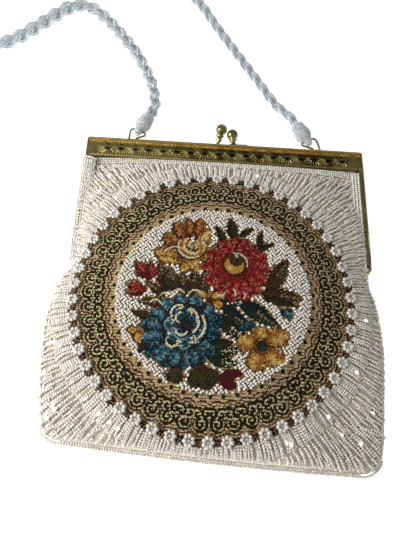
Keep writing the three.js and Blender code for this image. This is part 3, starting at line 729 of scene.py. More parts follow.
def piping_rows():
    """Two strings of beads round the bottom edge, from one rounded corner to the other."""
    rising = np.linspace(BOTTOM_CORNER / POUCH_LENGTH, 0, CORNER_STEPS)
    level = np.linspace(-1, 1, 90)[1:-1]
    corner = np.ones(CORNER_STEPS)
    ups = np.concatenate([rising, 0 * level, rising[::-1]])
    x, y, _, _ = pouch_point(np.concatenate([-corner, level, corner]), ups)
    path = np.stack([x, y, np.full(len(x), FRAME_MID_Z)], 1)
    ahead = unit(np.gradient(path, axis=0))
    outside = np.stack([ahead[:, 1], -ahead[:, 0], 0 * x], 1)
    places, along, outward = [], [], []
    for rise in (PIPING_SPREAD, -PIPING_SPREAD):
        spots, ways = row_along(path + outside * (PIPING_OUT + GAP) + [0.0, 0.0, rise], ROW_PITCH)
        places.append(spots)
        along.append(ways)
        outward.append(np.stack([ways[:, 1], -ways[:, 0], 0 * ways[:, 0]], 1))
    beads("bottom_piping_beads", places, along, outward, *PIPING_BEAD, PEARL, "pearl_beads",
          ("bottom_piping",))


# Plain beading of the back: even rows of flattened beads

BACK_ROW = 2.3
BACK_PITCH = 1.8
BACK_BEAD = (1.65, 1.65)


def back_beads():
    places = []
    for x in np.arange(-102.0, 98.0, BACK_ROW):
        y = np.arange(-94.0, 99.0, BACK_PITCH) + rng.uniform(-0.5, 0.5)
        places.append(np.stack([np.full(len(y), x), y], 1))
    flat = np.concatenate(places)
    across, up = pouch_shares(flat[:, 0], flat[:, 1])
    keep = (np.abs(across) < 0.985) & (up > 0.01) & (up < 0.985)
    flat, across, up = flat[keep], across[keep], up[keep]
    back = pouch_point(across, up)[3]
    spots = np.stack([flat[:, 0], flat[:, 1], np.maximum(back, 0.0) + 0.95], 1)
    beads("back_beads", spots, [(0, 1, 0)], [(0, 0, -1)], *BACK_BEAD, PEARL, "pearl_beads", shape=SQUARE)


# Rosettes: a ring of beads round one, between the lobes of the tapestry's edge

PETALS = 7
PETAL_REACH = 2.3
PETAL_RISE = 2.3
CENTRE_RISE = 1.5
ROSETTE_BEAD = (2.6, 2.8)


def rosettes():
    places, along = [], []
    for k in range(ROSETTES):
        angle = np.pi / 2 - 2 * np.pi * k / ROSETTES
        a = rng.uniform(0, np.pi) + turns(PETALS)
        x = MEDALLION[0] + ROSETTE_RADIUS * np.cos(angle) + PETAL_REACH * np.append(0, np.cos(a))
        y = MEDALLION[1] + ROSETTE_RADIUS * np.sin(angle) + PETAL_REACH * np.append(0, np.sin(a))
        rise = np.append(CENTRE_RISE, np.full(PETALS, PETAL_RISE))
        places.append(np.stack([x, y, front_height(x, y) + rise], 1))
        along.append(np.stack([np.append(1, -np.sin(a)), np.append(0, np.cos(a)), 0 * x], 1))
    beads("rosette_beads", places, along, [UP], *ROSETTE_BEAD, GREY_PEARL, "pearl_beads",
          ("rosette_ring",), shape=ROUND)


# The tapestry: a chart of petals and leaves, in millimetres from the medallion's centre

TAPESTRY_REACH = 84.4
DISC_REACH = 57.0
STITCH = 0.6
CLOTH_LIFT = 0.9
LOBES = 50
SCROLL_RADIUS = 70.7
SCROLL_GAP = 2.5
SCROLL_DARK = 0.34
SCROLL_START = 0.1
DOT_CIRCLE = 58.4
DOT_STEP_RADIUS = 58.2
DOT_RADIUS = 1.25
BORDER_START = 64
LOBE_RADIUS = 79.3
LOBE_DEPTH = 1.5
LOBE_LINE = 0.5

# Waving lines of the border: radius, wave, half width, thread
BORDER_LINES = ((61.8, -2.0, 0.5, "maroon"), (64.0, -2.0, 0.4, "brown"), (77.9, 1.8, 0.35, "brown"))

# Scrolls of each pair of lobes: how far aside and up, size, way of winding
SCROLLS = ((4.7, 2.2, 4.6, 1), (2.2, -3.0, 3.9, -1), (6.9, -3.2, 3.6, 1))

THREADS = {
    "cream": (232, 209, 154),
    "light_cream": (250, 234, 190),
    "olive": (36, 34, 16),
    "leaf_green": (62, 64, 34),
    "maroon": (74, 34, 28),
    "gold": (204, 150, 64),
    "light_gold": (240, 206, 124),
    "orange": (160, 94, 44),
    "brown": (72, 42, 26),
    "red": (158, 44, 36),
    "light_red": (204, 104, 84),
    "dark_red": (80, 18, 16),
    "teal": (58, 104, 118),
    "light_teal": (112, 156, 160),
    "dark_teal": (18, 36, 46),
    "green": (34, 52, 38),
    "burgundy": (100, 24, 40),
    "tan": (168, 138, 98),
    "weft_brown": (122, 90, 58),
    "blush": (208, 176, 130),
    "black_brown": (46, 34, 28),
}

# Each way of stitching a petal: its outline, body, shaded part and vein
STITCHES = {
    "rose": ("brown", "gold", "orange", "light_gold"),
    "rose_back": ("brown", "orange", "brown", "gold"),
    "bud": ("maroon", "red", "dark_red", "light_red"),
    "leaf": ("olive", "leaf_green", "maroon", "tan"),
    "dark_leaf": ("olive", "leaf_green", "olive", "maroon"),
    "stem": ("olive", "leaf_green", "olive", "leaf_green"),
    "red_flower": ("dark_red", "red", "dark_red", "light_red"),
    "green_leaf": ("olive", "green", "olive", "light_cream"),
    "teal_leaf": ("olive", "green", "dark_teal", "tan"),
    "peony": ("brown", "teal", "dark_teal", "light_teal"),
    "peony_dark": ("dark_teal", "dark_teal", "teal", "teal"),
    "peony_inner": ("brown", "teal", "dark_teal", "light_cream"),
    "round_leaf": ("olive", "leaf_green", "brown", "olive"),
    "burgundy": ("burgundy", "burgundy", "maroon", "burgundy"),
    "gold_flower": ("brown", "gold", "orange", "light_gold"),
}

POINTED = ("leaf", "dark_leaf", "stem", "green_leaf", "teal_leaf", "burgundy", "bud")

# Stitch and base, then each petal's tip and width: painted in this order
BOUQUET = (
    ("stem", -40, 7, (-27, 0, 2)), ("leaf", -27, 0, (-33, 20, 8)), ("leaf", -22, 1, (-27, 17, 7)),
    ("leaf", -17, -2, (-19, 14, 7)), ("leaf", -13, -2, (-11, 16, 8)), ("leaf", -7, -3, (-6, 14, 8)),
    ("dark_leaf", -24, 1, (-31, 12, 6)), ("leaf", -28, -3, (-40, 7, 5)), ("leaf", -24, -6, (-44, -6, 6)),
    ("dark_leaf", -27, -18, (-47, -12, 6)), ("dark_leaf", -35, -27, (-41, -36, 6)),
    ("bud", -37, 8, (-47, 19, 9), (-38, 20, 7)), ("bud", -40, 1, (-51, 5, 7)),
    ("bud", -39, 2, (-51, -1, 7)),
    ("gold_flower", -38, -27, (-48, -22, 5)), ("gold_flower", -41, -22, (-42, -30, 6)),
    ("dark_leaf", 6, 34, (0, 46, 5)), ("dark_leaf", 11, 36, (9, 52, 7)), ("dark_leaf", 14, 39, (23, 46, 4)),
    ("dark_leaf", 26, 30, (28, 44, 4)), ("dark_leaf", 24, 30, (36, 36, 4)),
    ("leaf", 31, 4, (44, 26, 10)), ("leaf", 27, 3, (53, 1, 9)), ("dark_leaf", 28, 0, (50, -4, 5)),
    ("peony", 38, -7, (46, -10, 7)),
    ("teal_leaf", 13, -2, (39, -18, 10)), ("green_leaf", -2, -7, (19, -3, 7)),
    ("green_leaf", 1, -12, (21, -27, 10)), ("teal_leaf", 5, -6, (22, -21, 8)),
    ("peony_dark", 14, -20, (24, -16, 6)), ("green_leaf", -5, -34, (17, -32, 8)),
    ("green_leaf", -2, -38, (15, -40, 7)), ("dark_leaf", -2, -30, (12, -28, 6)),
    ("rose_back", -20, 28, (-31, 38, 9)), ("rose_back", -18, 32, (-25, 47, 8)),
    ("rose_back", -16, 34, (-17, 50, 7)), ("rose_back", -12, 34, (-9, 50, 8)),
    ("rose", -18, 20, (-36, 27, 10)), ("rose", -17, 19, (-34, 22, 6)), ("rose", -10, 27, (-5, 43, 8)),
    ("rose", -9, 22, (-2, 30, 8)), ("rose", -12, 22, (-20, 14, 7), (-10, 13, 6)),
    ("rose", -22, 22, (-17, 37, 9)), ("rose", -8, 20, (-10, 37, 8)), ("rose", -20, 22, (-9, 22, 12)),
    ("red_flower", 12, 20, (13, 39, 10), (3, 36, 10), (-5, 27, 10), (-8, 17, 10), (-5, 7, 10), (2, 0, 10),
     (10, -4, 10), (19, -3, 10), (26, 2, 10), (31, 9, 10), (33, 18, 10), (31, 27, 10), (24, 34, 10),
     (19, 38, 9)),
    ("gold_flower", -3, -3, (-9, 1, 6), (3, 1, 6)), ("gold_flower", -3, -4, (-4, -9, 6)),
    ("gold_flower", -2, -4, (5, -7, 6)),
    ("peony_dark", -18, -26, (-27, -43, 11), (-37, -37, 11), (-16, -45, 11)),
    ("peony_dark", -15, -26, (-6, -43, 11)), ("peony_dark", -14, -25, (1, -36, 11)),
    ("peony", -22, -25, (-40, -28, 9)), ("peony", -22, -22, (-41, -19, 9)),
    ("peony", -22, -20, (-36, -11, 9)), ("peony", -19, -18, (-29, -4, 9)),
    ("peony", -17, -16, (-20, -1, 9)), ("peony", -13, -16, (-10, -1, 10)),
    ("peony", -11, -18, (-1, -7, 10)), ("peony_dark", -9, -20, (5, -14, 11)),
    ("peony_dark", -10, -24, (5, -24, 10)), ("peony", -19, -28, (-32, -40, 9)),
    ("peony", -18, -30, (-21, -43, 9)), ("peony", -14, -29, (-10, -42, 9)), ("peony", -12, -27, (-1, -31, 8)),
    ("peony_inner", -15, -19, (-28, -19, 11), (-25, -9, 11), (-15, -6, 11), (-6, -10, 11), (-3, -20, 11),
     (-6, -29, 11), (-16, -33, 11), (-25, -29, 11)),
    ("round_leaf", -19, -41, (-20, -52, 10)), ("round_leaf", -6, -40, (-9, -54, 9)),
    ("round_leaf", -5, -40, (-1, -55, 10)), ("round_leaf", -4, -42, (4, -51, 8)),
    ("burgundy", 6, -46, (18, -45, 6)), ("burgundy", 5, -46, (14, -54, 8)),
    ("gold_flower", 28, -29, (26, -18, 11), (42, -20, 12), (39, -38, 12), (23, -43, 11), (14, -27, 11)),
)

# Round centres: thread, x, y, radius
CENTRES = (
    ("gold", 11.5, 19.6, 5.8), ("brown", 12.6, 23.2, 4.2), ("leaf_green", 12.8, 23.8, 3.4),
    ("light_cream", 12.8, 25.8, 1.0), ("maroon", 12.6, 22.6, 1.4), ("light_gold", 9, 17.5, 1.6),
    ("brown", -2.5, -3.5, 1.7), ("olive", -15.5, -17, 1.3),
    ("brown", 28, -29, 3.4), ("green", 28, -29, 2.7), ("leaf_green", 28.5, -30, 1.3),
)

# Crescents stitched over the petals: thread, centre x and y, radius, from and to degrees, half width
ARCS = (
    ("dark_teal", -15.5, -19.5, 12.8, 0, 360, 0.7), ("brown", -15.5, -19.5, 11.9, 30, 200, 0.35),
    ("light_cream", -19.5, -12, 4.6, 70, 215, 0.6), ("dark_teal", -19.5, -12, 5.8, 60, 220, 0.45),
    ("light_cream", -18.5, -15, 2.8, 100, 260, 0.5), ("light_cream", -13.5, -14, 4.2, -30, 110, 0.6),
    ("dark_teal", -13.5, -14, 5.6, -30, 110, 0.45), ("light_cream", -15, -17.5, 6.8, -60, 30, 0.6),
    ("dark_teal", -15, -17.5, 8.2, -60, 40, 0.45), ("light_cream", -14.5, -19, 9.8, -60, 30, 0.6),
    ("light_cream", -17.5, -22, 3.2, 180, 350, 0.5), ("dark_teal", -17.5, -22, 4.6, 170, 350, 0.5),
    ("light_teal", -17, -21, 6.2, 180, 300, 0.5), ("light_cream", -22.5, -28.5, 3.4, 140, 380, 0.5),
    ("dark_teal", -22.5, -28.5, 2.0, 0, 360, 0.4), ("light_teal", -24, -19, 3.4, 90, 260, 0.5),
    ("light_teal", -16, -30, 3.0, 180, 360, 0.5),
    ("light_cream", -33.5, -8, 3.4, 10, 150, 0.45), ("light_cream", -28, -3.5, 3.4, 10, 160, 0.45),
    ("light_cream", -20.5, -1.5, 3.6, 20, 160, 0.5), ("light_cream", -11, -1.5, 3.8, 20, 160, 0.5),
    ("dark_teal", -35, -20, 3.2, 90, 280, 0.5), ("dark_teal", -33, -31, 3.2, 120, 330, 0.5),
    ("dark_teal", -21, -40, 3.4, 150, 380, 0.5), ("dark_teal", -9, -38, 3.4, 180, 400, 0.5),
    ("dark_teal", 0, -15, 3.4, -90, 120, 0.6), ("dark_teal", 0, -26, 3.4, -100, 120, 0.6),
    ("brown", -14.5, 31, 9.2, 130, 350, 0.5), ("light_cream", -14.5, 31, 8.0, 150, 300, 0.5),
    ("orange", -14.5, 31, 6.8, 160, 350, 0.4), ("light_cream", -13.8, 31.5, 5.4, 120, 320, 0.5),
    ("brown", -13.5, 32, 4.0, 60, 330, 0.4), ("light_cream", -13, 32.3, 2.6, 0, 250, 0.45),
    ("brown", -24, 24, 8.0, 60, 170, 0.4), ("light_cream", -24, 22, 8.0, 60, 150, 0.4),
    ("light_cream", -3, 36, 5.0, 80, 250, 0.45), ("brown", -6, 36, 5.6, -60, 60, 0.4),
    ("brown", 12, 20, 7.6, 0, 360, 0.5), ("light_cream", 12.5, 21, 6.6, -20, 110, 0.45),
    ("brown", 11.5, 19, 3.4, 200, 330, 0.4), ("light_cream", 9.5, 1.5, 3.0, -40, 60, 0.4),
    ("light_cream", 15, 0.5, 3.0, -50, 60, 0.4), ("light_cream", 3.5, 2.5, 3.0, -150, -20, 0.4),
    ("dark_red", 12, 20, 12.5, 10, 80, 0.35), ("dark_red", 12, 20, 13.5, 110, 250, 0.35),
    ("brown", 28, -29, 4.6, 0, 360, 0.35),
)


def petal_share(x, y, base_x, base_y, tip_x, tip_y, width, pointed):
    """Distance in from a petal's edge, and the shares along and over it."""
    way_x, way_y = tip_x - base_x, tip_y - base_y
    length = math.hypot(way_x, way_y)
    along = ((x - base_x) * way_x + (y - base_y) * way_y) / length ** 2
    over = ((y - base_y) * way_x - (x - base_x) * way_y) / length
    inside = (along > 0) & (along < 1)
    fullest, roundness = (0.85, 0.85) if pointed else (1.75, 0.5)
    half = width / 2 * np.sin(np.pi * np.clip(along, 0, 1) ** fullest) ** roundness
    half = half * (1 + 0.12 * np.sin(2.1 * length * along))
    edge = np.where(inside, half - np.abs(over), -1.0)
    return edge, along, over / (width / 2)


def paint_petal(colours, x, y, ragged, stitch, *petal):
    """Paints one petal, given by its base, tip and width, and returns where it is."""
    outline, body, shade, vein = (THREADS[name] for name in STITCHES[stitch])
    pointed = stitch in POINTED
    base_x, base_y, tip_x, tip_y, width = petal
    edge, along, over = petal_share(x, y, *petal, pointed)
    inside = edge > 0.3 * ragged
    run = along * math.hypot(tip_x - base_x, tip_y - base_y)
    dashes = np.sin(2.6 * run + 2 * over) > -0.45
    if pointed:
        aside = np.abs(over) * width
        ribs = np.where(aside < 0.75, 1.0, np.sin(1.7 * (run - aside) + base_x) - 0.5)
    else:
        ribs = np.sin(5.2 * over + 0.9 * np.sin(1.3 * run) + base_x)
    colours[inside] = body
    colours[inside & (over + 0.6 * ragged > (0.1 if pointed else 0.42))] = shade
    colours[inside & (along < (0.15 if pointed else 0.34) + 0.14 * ragged)] = shade
    colours[inside & (ribs < -0.8) & dashes] = shade
    colours[inside & (ribs > 0.35) & dashes & (along > 0.45)] = vein
    colours[inside & (edge < 0.75) & (edge > 0.0) & (over < 0.2) & (along > 0.6) & dashes] = vein
    colours[inside & (edge < 0.7)] = outline
    return inside


def bouquet_colours(x, y, colours):
    """Paints the bouquet into colours and returns where it is."""
    painted = np.zeros(x.shape, bool)
    ragged = 0.35 * np.sin(2.9 * x + 1.7 * y) + 0.35 * np.sin(2.3 * y - 1.9 * x)
    for stitch, base_x, base_y, *petals in BOUQUET:
        for petal in petals:
            painted |= paint_petal(colours, x, y, ragged, stitch, base_x, base_y, *petal)
    for thread, centre_x, centre_y, radius, start, end, half in ARCS:
        turn = (np.degrees(np.arctan2(y - centre_y, x - centre_x)) - start) % 360
        away = np.hypot(x - centre_x, y - centre_y)
        thin = half * (1 - 0.5 * np.abs(2 * turn / (end - start) - 1))
        colours[(turn < end - start) & (np.abs(away - radius) < thin + 0.12)] = THREADS[thread]
    for thread, centre_x, centre_y, radius in CENTRES:
        inside = np.hypot(x - centre_x, y - centre_y) + 0.3 * ragged < radius
        colours[inside] = THREADS[thread]
        painted |= inside
    return painted


def scroll_colours(x, y, colours):
    """Rings of the tapestry's border, from its dotted inner edge to its lobes."""
    reach = np.hypot(x, y)
    angle = np.arctan2(x, y)
    lobe_angle = 2 * np.pi / LOBES
    colours[:] = THREADS["tan"]
    colours[reach >= DISC_REACH - 3] = THREADS["blush"]
    row = np.round(y / STITCH).astype(int)
    colours[(row % 3 == 0) & (np.sin(0.9 * x + 2.1 * row) > -0.5)] = THREADS["weft_brown"]
    colours[(row % 3 == 1) & (np.sin(1.3 * x + 1.7 * row) > 0.1)] = THREADS["cream"]
    flecks = np.sin(3.7 * x + 2.2 * y) * np.sin(4.3 * y - 1.4 * x) > 0.72
    colours[flecks & (reach > BORDER_START)] = THREADS["brown"]

    def arc_off(pitch):
        return ((angle / pitch + 0.5) % 1 - 0.5) * pitch

    dots = np.hypot(arc_off(lobe_angle) * DOT_STEP_RADIUS, reach - DOT_CIRCLE)
    colours[dots < DOT_RADIUS] = THREADS["olive"]
    scallop = np.abs(np.sin(LOBES / 2 * angle))
    lobe = LOBE_RADIUS + LOBE_DEPTH * scallop
    for middle, rise, width, thread in BORDER_LINES:
        colours[np.abs(reach - middle - rise * (scallop - 0.5)) < width] = THREADS[thread]
    offset = arc_off(2 * lobe_angle) * reach
    for start, level, size, spin in SCROLLS:
        over = np.abs(offset) - start
        up = reach - SCROLL_RADIUS - level
        away = np.hypot(over, up)
        turn = np.arctan2(up, over * spin) / (2 * np.pi)
        wound = (away / SCROLL_GAP - turn + SCROLL_START) % 1
        inside = away < size
        colours[inside & (row % 3 > 0)] = THREADS["cream"]
        colours[inside & (np.abs(wound - 0.5) < SCROLL_DARK)] = THREADS["olive"]
    glints = (np.sin(2 * np.pi * y / (4 * STITCH)) > 0.5) & (np.sin(1.9 * x + 0.8 * y) > 0.1)
    bright = (colours == THREADS["cream"]).all(-1) & (reach > BORDER_START)
    colours[glints & bright] = THREADS["light_cream"]
    colours[np.abs(reach - lobe) < LOBE_LINE] = THREADS["maroon"]
    beyond = reach > lobe + LOBE_LINE
    colours[beyond] = THREADS["tan"]
    colours[beyond & (np.sin(2.3 * x + 1.1 * y) * np.sin(2.9 * y - 0.8 * x) > -0.1)] = THREADS["black_brown"]


def tapestry_chart(x, y):
    colours = np.empty(x.shape + (3,))
    scroll_colours(x, y, colours)
    bouquet_colours(x, y, colours)
    return colours


def to_linear(colours):
    share = np.clip(colours / 255, 0, 1)
    return np.where(share <= 0.04045, share / 12.92, ((share + 0.055) / 1.055) ** 2.4)


def tapestry():
    """The round of stitches, lying on the pouch's front."""
    count = int(2 * TAPESTRY_REACH / STITCH) + 2
    ticks = (np.arange(count + 1) - count / 2) * STITCH
    gx, gy = np.meshgrid(ticks, ticks)
    middle_x = (gx[:-1, :-1] + STITCH / 2).ravel()
    middle_y = (gy[:-1, :-1] + STITCH / 2).ravel()
    keep = np.hypot(middle_x, middle_y) < TAPESTRY_REACH
    middle_x, middle_y = middle_x[keep], middle_y[keep]
    used, faces = np.unique(grid_faces(*gx.shape)[keep], return_inverse=True)
    x = MEDALLION[0] + gx.ravel()[used]
    y = MEDALLION[1] + gy.ravel()[used]
    weave = 0.08 * np.cos(np.pi * gy.ravel()[used] / STITCH)
    top = np.stack([x, y, front_height(x, y) + CLOTH_LIFT + weave], -1)
    mesh = mesh_from("tapestry", top, faces.reshape(-1, 4))
    colours = tapestry_chart(middle_x, middle_y)
    row = np.round(middle_y / STITCH)
    dash = np.sin(2.6 * middle_x + 2.4 * row) > -0.4
    shade = 1 + 0.14 * np.where((row % 2 == 0) & dash, 1, -0.8) + 0.05 * rng.standard_normal(len(row))
    linear = to_linear(colours * shade[:, None])
    loops = np.repeat(np.concatenate([linear, np.ones((len(linear), 1))], 1), 4, axis=0)
    chart = mesh.color_attributes.new("pattern", "FLOAT_COLOR", "CORNER")
    chart.data.foreach_set("color", loops.astype(np.float32).ravel())
    piece = add_object("tapestry", mesh, TAPESTRY, ("medallion",))


# White beads of the medallion's ground, in short bars that turn from one to the next

GROUND_CELL = 4.0
GROUND_BARS = 2
BAR_BEADS = 3
GROUND_BEAD = (1.32, 1.95)
GROUND_TURN = 38
GROUND_STRAY = 0.14
GROUND_SWAY = 0.12
BAR_MARGIN = 0.65
FILL_MARGIN = 0.75
FILL_TRIES = 9000
FILL_ROOM = 1.45


def on_bouquet(places, margin):
    """Whether each place lies on the bouquet or within a margin of it."""
    hit = np.zeros(len(places), bool)
    for dx, dy in ((0, 0), (1, 0), (-1, 0), (0, 1), (0, -1)):
        colours = np.zeros((len(places), 3))
        hit |= bouquet_colours(places[:, 0] + dx * margin, places[:, 1] + dy * margin, colours)
    return hit


def ground_beads():
    reach = int(1.5 * DISC_REACH / GROUND_CELL)
    places, ways = [], []
    for i in range(-reach, reach + 1):
        for j in range(-reach, reach + 1):
            turned = (i + j) % 2
            for bar in range(GROUND_BARS):
                for k in range(BAR_BEADS):
                    run = GROUND_CELL * ((k + 0.5) / BAR_BEADS - 0.5)
                    over = GROUND_CELL * ((bar + 0.5) / GROUND_BARS - 0.5)
                    u, v = (over, run) if turned else (run, over)
                    places.append((i * GROUND_CELL + u, j * GROUND_CELL + v))
                    ways.append((0.0, 1.0) if turned else (1.0, 0.0))
    tilt = math.radians(GROUND_TURN)
    turn = np.array([[math.cos(tilt), math.sin(tilt)], [-math.sin(tilt), math.cos(tilt)]])
    places = np.array(places) @ turn + rng.normal(0, GROUND_STRAY, (len(places), 2))
    ways = np.array(ways) @ turn + rng.normal(0, GROUND_SWAY, (len(ways), 2))
    free = (np.hypot(places[:, 0], places[:, 1]) < DISC_REACH - 0.4) & ~on_bouquet(places, BAR_MARGIN)
    places, ways = places[free], ways[free]
    tries = rng.uniform(-DISC_REACH, DISC_REACH, (FILL_TRIES, 2))
    tries = tries[(np.hypot(tries[:, 0], tries[:, 1]) < DISC_REACH) & ~on_bouquet(tries, FILL_MARGIN)]
    kept = list(places)
    for place in tries:
        if np.min(np.sum((np.array(kept) - place) ** 2, 1)) > FILL_ROOM ** 2:
            kept.append(place)
    added = len(kept) - len(places)
    places = np.array(kept)
    ways = np.concatenate([ways, rng.normal(0, 1, (added, 2))])
    ways = np.concatenate([ways, np.zeros((len(ways), 1))], 1)
    x = MEDALLION[0] + places[:, 0]
    y = MEDALLION[1] + places[:, 1]
    normal = front_normal(x, y)
    spots = np.stack([x, y, front_height(x, y)], 1) + normal * (CLOTH_LIFT + 0.6)
    beads("ground_beads", spots, ways, normal, *GROUND_BEAD, GROUND_PEARL, "pearl_beads")


# The strap: three cords, each a bundle of bead strings, plaited along its route

def smooth_route(points, steps):
    """Smooth curve through the route's points."""
    p = np.array(points, float)
    p = np.concatenate([[2 * p[0] - p[1]], p, [2 * p[-1] - p[-2]]])
    out = []
    t = np.linspace(0, 1, steps, endpoint=False)[:, None]
    for a, b, c, d in zip(p[:-3], p[1:-2], p[2:-1], p[3:]):
        out.append(0.5 * (2 * b + (c - a) * t + (2 * a - 5 * b + 4 * c - d) * t ** 2
                          + (3 * b - a - 3 * c + d) * t ** 3))
    return np.concatenate(out + [p[-2:-1]])


PLAIT_HALF_WIDTH = 3.9
PLAIT_HALF_HEIGHT = 1.8
END_TAIL_Z = 5.3
PLAIT_REST = 3.45
PLAIT_LIFT = 0.4
STRINGS = 5
STRAP_PITCH = 1.35
STRAP_BEAD = (1.3, 1.5)
BUNDLE_REACH = 1.75
BUNDLE_RISE = 0.95


def fullness_at(share):
    """Fullness of the plait, easing from one row of its table to the next."""
    at, full = np.array(PLAIT_FULLNESS).T
    i = np.clip(np.searchsorted(at, share) - 1, 0, len(at) - 2)
    t = (share - at[i]) / (at[i + 1] - at[i])
    return full[i] + (full[i + 1] - full[i]) * t * t * (3 - 2 * t)


def strap_cords():
    route = resample(smooth_route(STRAP_ROUTE, 24), 0.5)
    ahead = unit(np.gradient(route, axis=0))
    side = np.stack([-ahead[:, 1], ahead[:, 0]], 1)
    run = path_length(route)
    total = run[-1]
    crossings = round(total / PLAIT_PITCH)
    near_end = np.clip(np.minimum(run, total - run) / STRAP_SETTLE, 0, 1)
    settle = near_end ** 2 * (3 - 2 * near_end)
    fullness = fullness_at(run / total)
    rest = END_TAIL_Z + (PLAIT_REST * fullness + PLAIT_LIFT - END_TAIL_Z) * settle
    for i in range(3):
        phase = 2 * np.pi * (run / total * crossings + i / 3) + np.pi / 6
        across = PLAIT_HALF_WIDTH * fullness * np.sin(phase)
        height = rest + PLAIT_HALF_HEIGHT * fullness * np.sin(2 * phase)
        centre = np.concatenate([route + side * across[:, None], height[:, None]], 1)
        forward = unit(np.gradient(centre, axis=0))
        level = unit(np.cross(UP, forward))
        over = np.cross(forward, level)
        places, along = [], []
        for s in range(STRINGS):
            a = 2 * np.pi * s / STRINGS + 0.25 * np.sin(phase)
            string = (centre + level * (BUNDLE_REACH * fullness * np.cos(a))[:, None]
                      + over * (BUNDLE_RISE * fullness * np.sin(a))[:, None])
            spots = resample(string, STRAP_PITCH)
            places.append(spots)
            along.append(unit(np.gradient(spots, axis=0)))
        name = "strap_cord_%d" % (i + 1)
        beads(name + "_beads", places, along, [UP], *STRAP_BEAD, STRAP_PEARL, "strap_beads", (name,))


EYE_Z = 6.925
END_PITCH = 1.35
END_BEAD = (1.25, 1.35)
END_SIDES = 18


def strap_end_place(hand):
    """Tip and axis of a strap end, following the route's end."""
    route = smooth_route(STRAP_ROUTE, 24)
    here, after = (route[0], route[3]) if hand < 0 else (route[-1], route[-4])
    inward = unit(after - here)
    tail = here - inward * (CORD_RADIUS * fullness_at(0.0 if hand < 0 else 1.0) + GAP)
    lean = math.sqrt(END_LENGTH ** 2 - END_DROP ** 2)
    tip = tail - inward * lean
    tail = np.array([tail[0], tail[1], EYE_Z - END_DROP])
    tip = np.array([tip[0], tip[1], EYE_Z])
    return tip, unit(tail - tip)


# Radius of a strap end, as shares of its length and of its largest radius
END_WALL = ((0.0, 0.28), (0.05, 0.4), (0.24, 0.62), (0.46, 1.0), (0.62, 1.0), (0.84, 0.88), (1.0, 0.84))


def strap_end(hand, word):
    """Rings of beads wound round the cords' ends over a bound core."""
    tip, axis = strap_end_place(hand)
    share_at, radius_at = np.array(END_WALL).T
    places, along, outward = [], [], []
    for n in range(int(END_LENGTH / END_PITCH)):
        run = (n + 0.6) * END_PITCH
        radius = END_RADIUS * np.interp(run / END_LENGTH, share_at, radius_at) - 0.65
        turn = turns(max(6, int(2 * math.pi * radius / 1.3)), 0.5 * (n % 2))
        out = round_axis(axis, turn)
        places.append(tip + axis * run + out * radius)
        along.append(round_axis(axis, turn + np.pi / 2))
        outward.append(out)
    name = "strap_end_%s" % word
    profile = [(END_RADIUS * radius - 1.0, share * END_LENGTH) for share, radius in END_WALL]
    core, faces = turned(profile, tip, axis, END_SIDES)
    faces = np.concatenate([faces, cap_faces(len(profile), END_SIDES)])
    add_object(name + "_core", mesh_from(name + "_core", core, faces), CLOTH)
    beads(name + "_beads", places, along, outward, *END_BEAD, STRAP_PEARL, "strap_beads", (name,))


# Turned clasp knobs: stem with rings and a ball

KNOB_SIDES = 40
BALL_STEPS = 17
SHARP_ANGLE = 40

# Foot and rings of a knob: radius in stem radii, with millimetres up the foot or shares of the neck
KNOB_FOOT = ((0.0, 0.55), (1.0, 0.55), (1.0, 1.0), (0.96, 1.3), (0.6, 2.0))
KNOB_RINGS = (
    (0.5, 0.35), (0.58, 0.5), (0.75, 0.6), (0.92, 0.66), (0.92, 0.7), (0.68, 0.76), (1.1, 0.84), (1.16, 0.89),
    (1.1, 0.94),
)


def box_points(low, high):
    x0, y0, z0 = low
    x1, y1, z1 = high
    points = [(x, y, z) for x in (x0, x1) for y in (y0, y1) for z in (z0, z1)]
    faces = [(0, 1, 3, 2), (4, 6, 7, 5), (0, 4, 5, 1), (2, 3, 7, 6), (0, 2, 6, 4), (1, 5, 7, 3)]
    return np.array(points, float), np.array(faces)


# Height of each knob, and how far its top leans inward and over the other half
KNOB_STANDS = {"left": (20.5, 4.2, 4.5), "right": (16.0, 1.5, 3.5)}


def clasp_knob(hand, word):
    height, lean_x, lean_z = KNOB_STANDS[word]
    plate_y = FRAME_TOP_Y + GAP
    plate_z = FRAME_MID_Z + hand * (HALF_THICK + GAP) / 2
    base_x = hand * KNOB_SPREAD
    neck = height - 1.9 * KNOB_BALL
    profile = [(KNOB_STEM * radius, run) for radius, run in KNOB_FOOT]
    profile += [(KNOB_STEM * radius, neck * share) for radius, share in KNOB_RINGS]
    profile.append((KNOB_STEM * 0.75, neck + 0.2))
    for i in range(1, BALL_STEPS):
        a = math.pi * i / BALL_STEPS
        profile.append((KNOB_BALL * math.sin(a), height - KNOB_BALL - KNOB_BALL * math.cos(a)))
    profile.append((0.0, height))
    axis = unit(np.array([-hand * lean_x, height, -hand * lean_z]))
    base = np.array([base_x, plate_y + KNOB_PLATE * 0.5, plate_z])
    points, faces = turned(profile, base, axis, KNOB_SIDES)
    reach = KNOB_PLATE_LENGTH if hand > 0 else KNOB_PLATE_LENGTH / 2
    low = (min(base_x - 3, base_x + hand * reach), plate_y, plate_z - KNOB_PLATE_DEPTH / 2)
    high = (max(base_x + 3, base_x + hand * reach), plate_y + KNOB_PLATE, plate_z + KNOB_PLATE_DEPTH / 2)
    plate_points, plate_faces = box_points(low, high)
    all_faces = np.concatenate([faces, plate_faces + len(points)])
    name = "clasp_knob_%s_turned" % word
    mesh = mesh_from(name, np.concatenate([points, plate_points]), all_faces)
    add_object(name, mesh, KNOB_BRASS, ("clasp_knob_%s" % word,))
    mesh.set_sharp_from_angle(angle=math.radians(SHARP_ANGLE))


# Relief of the frame's face: ribs stamped into its cove and flowers engraved between the piercings

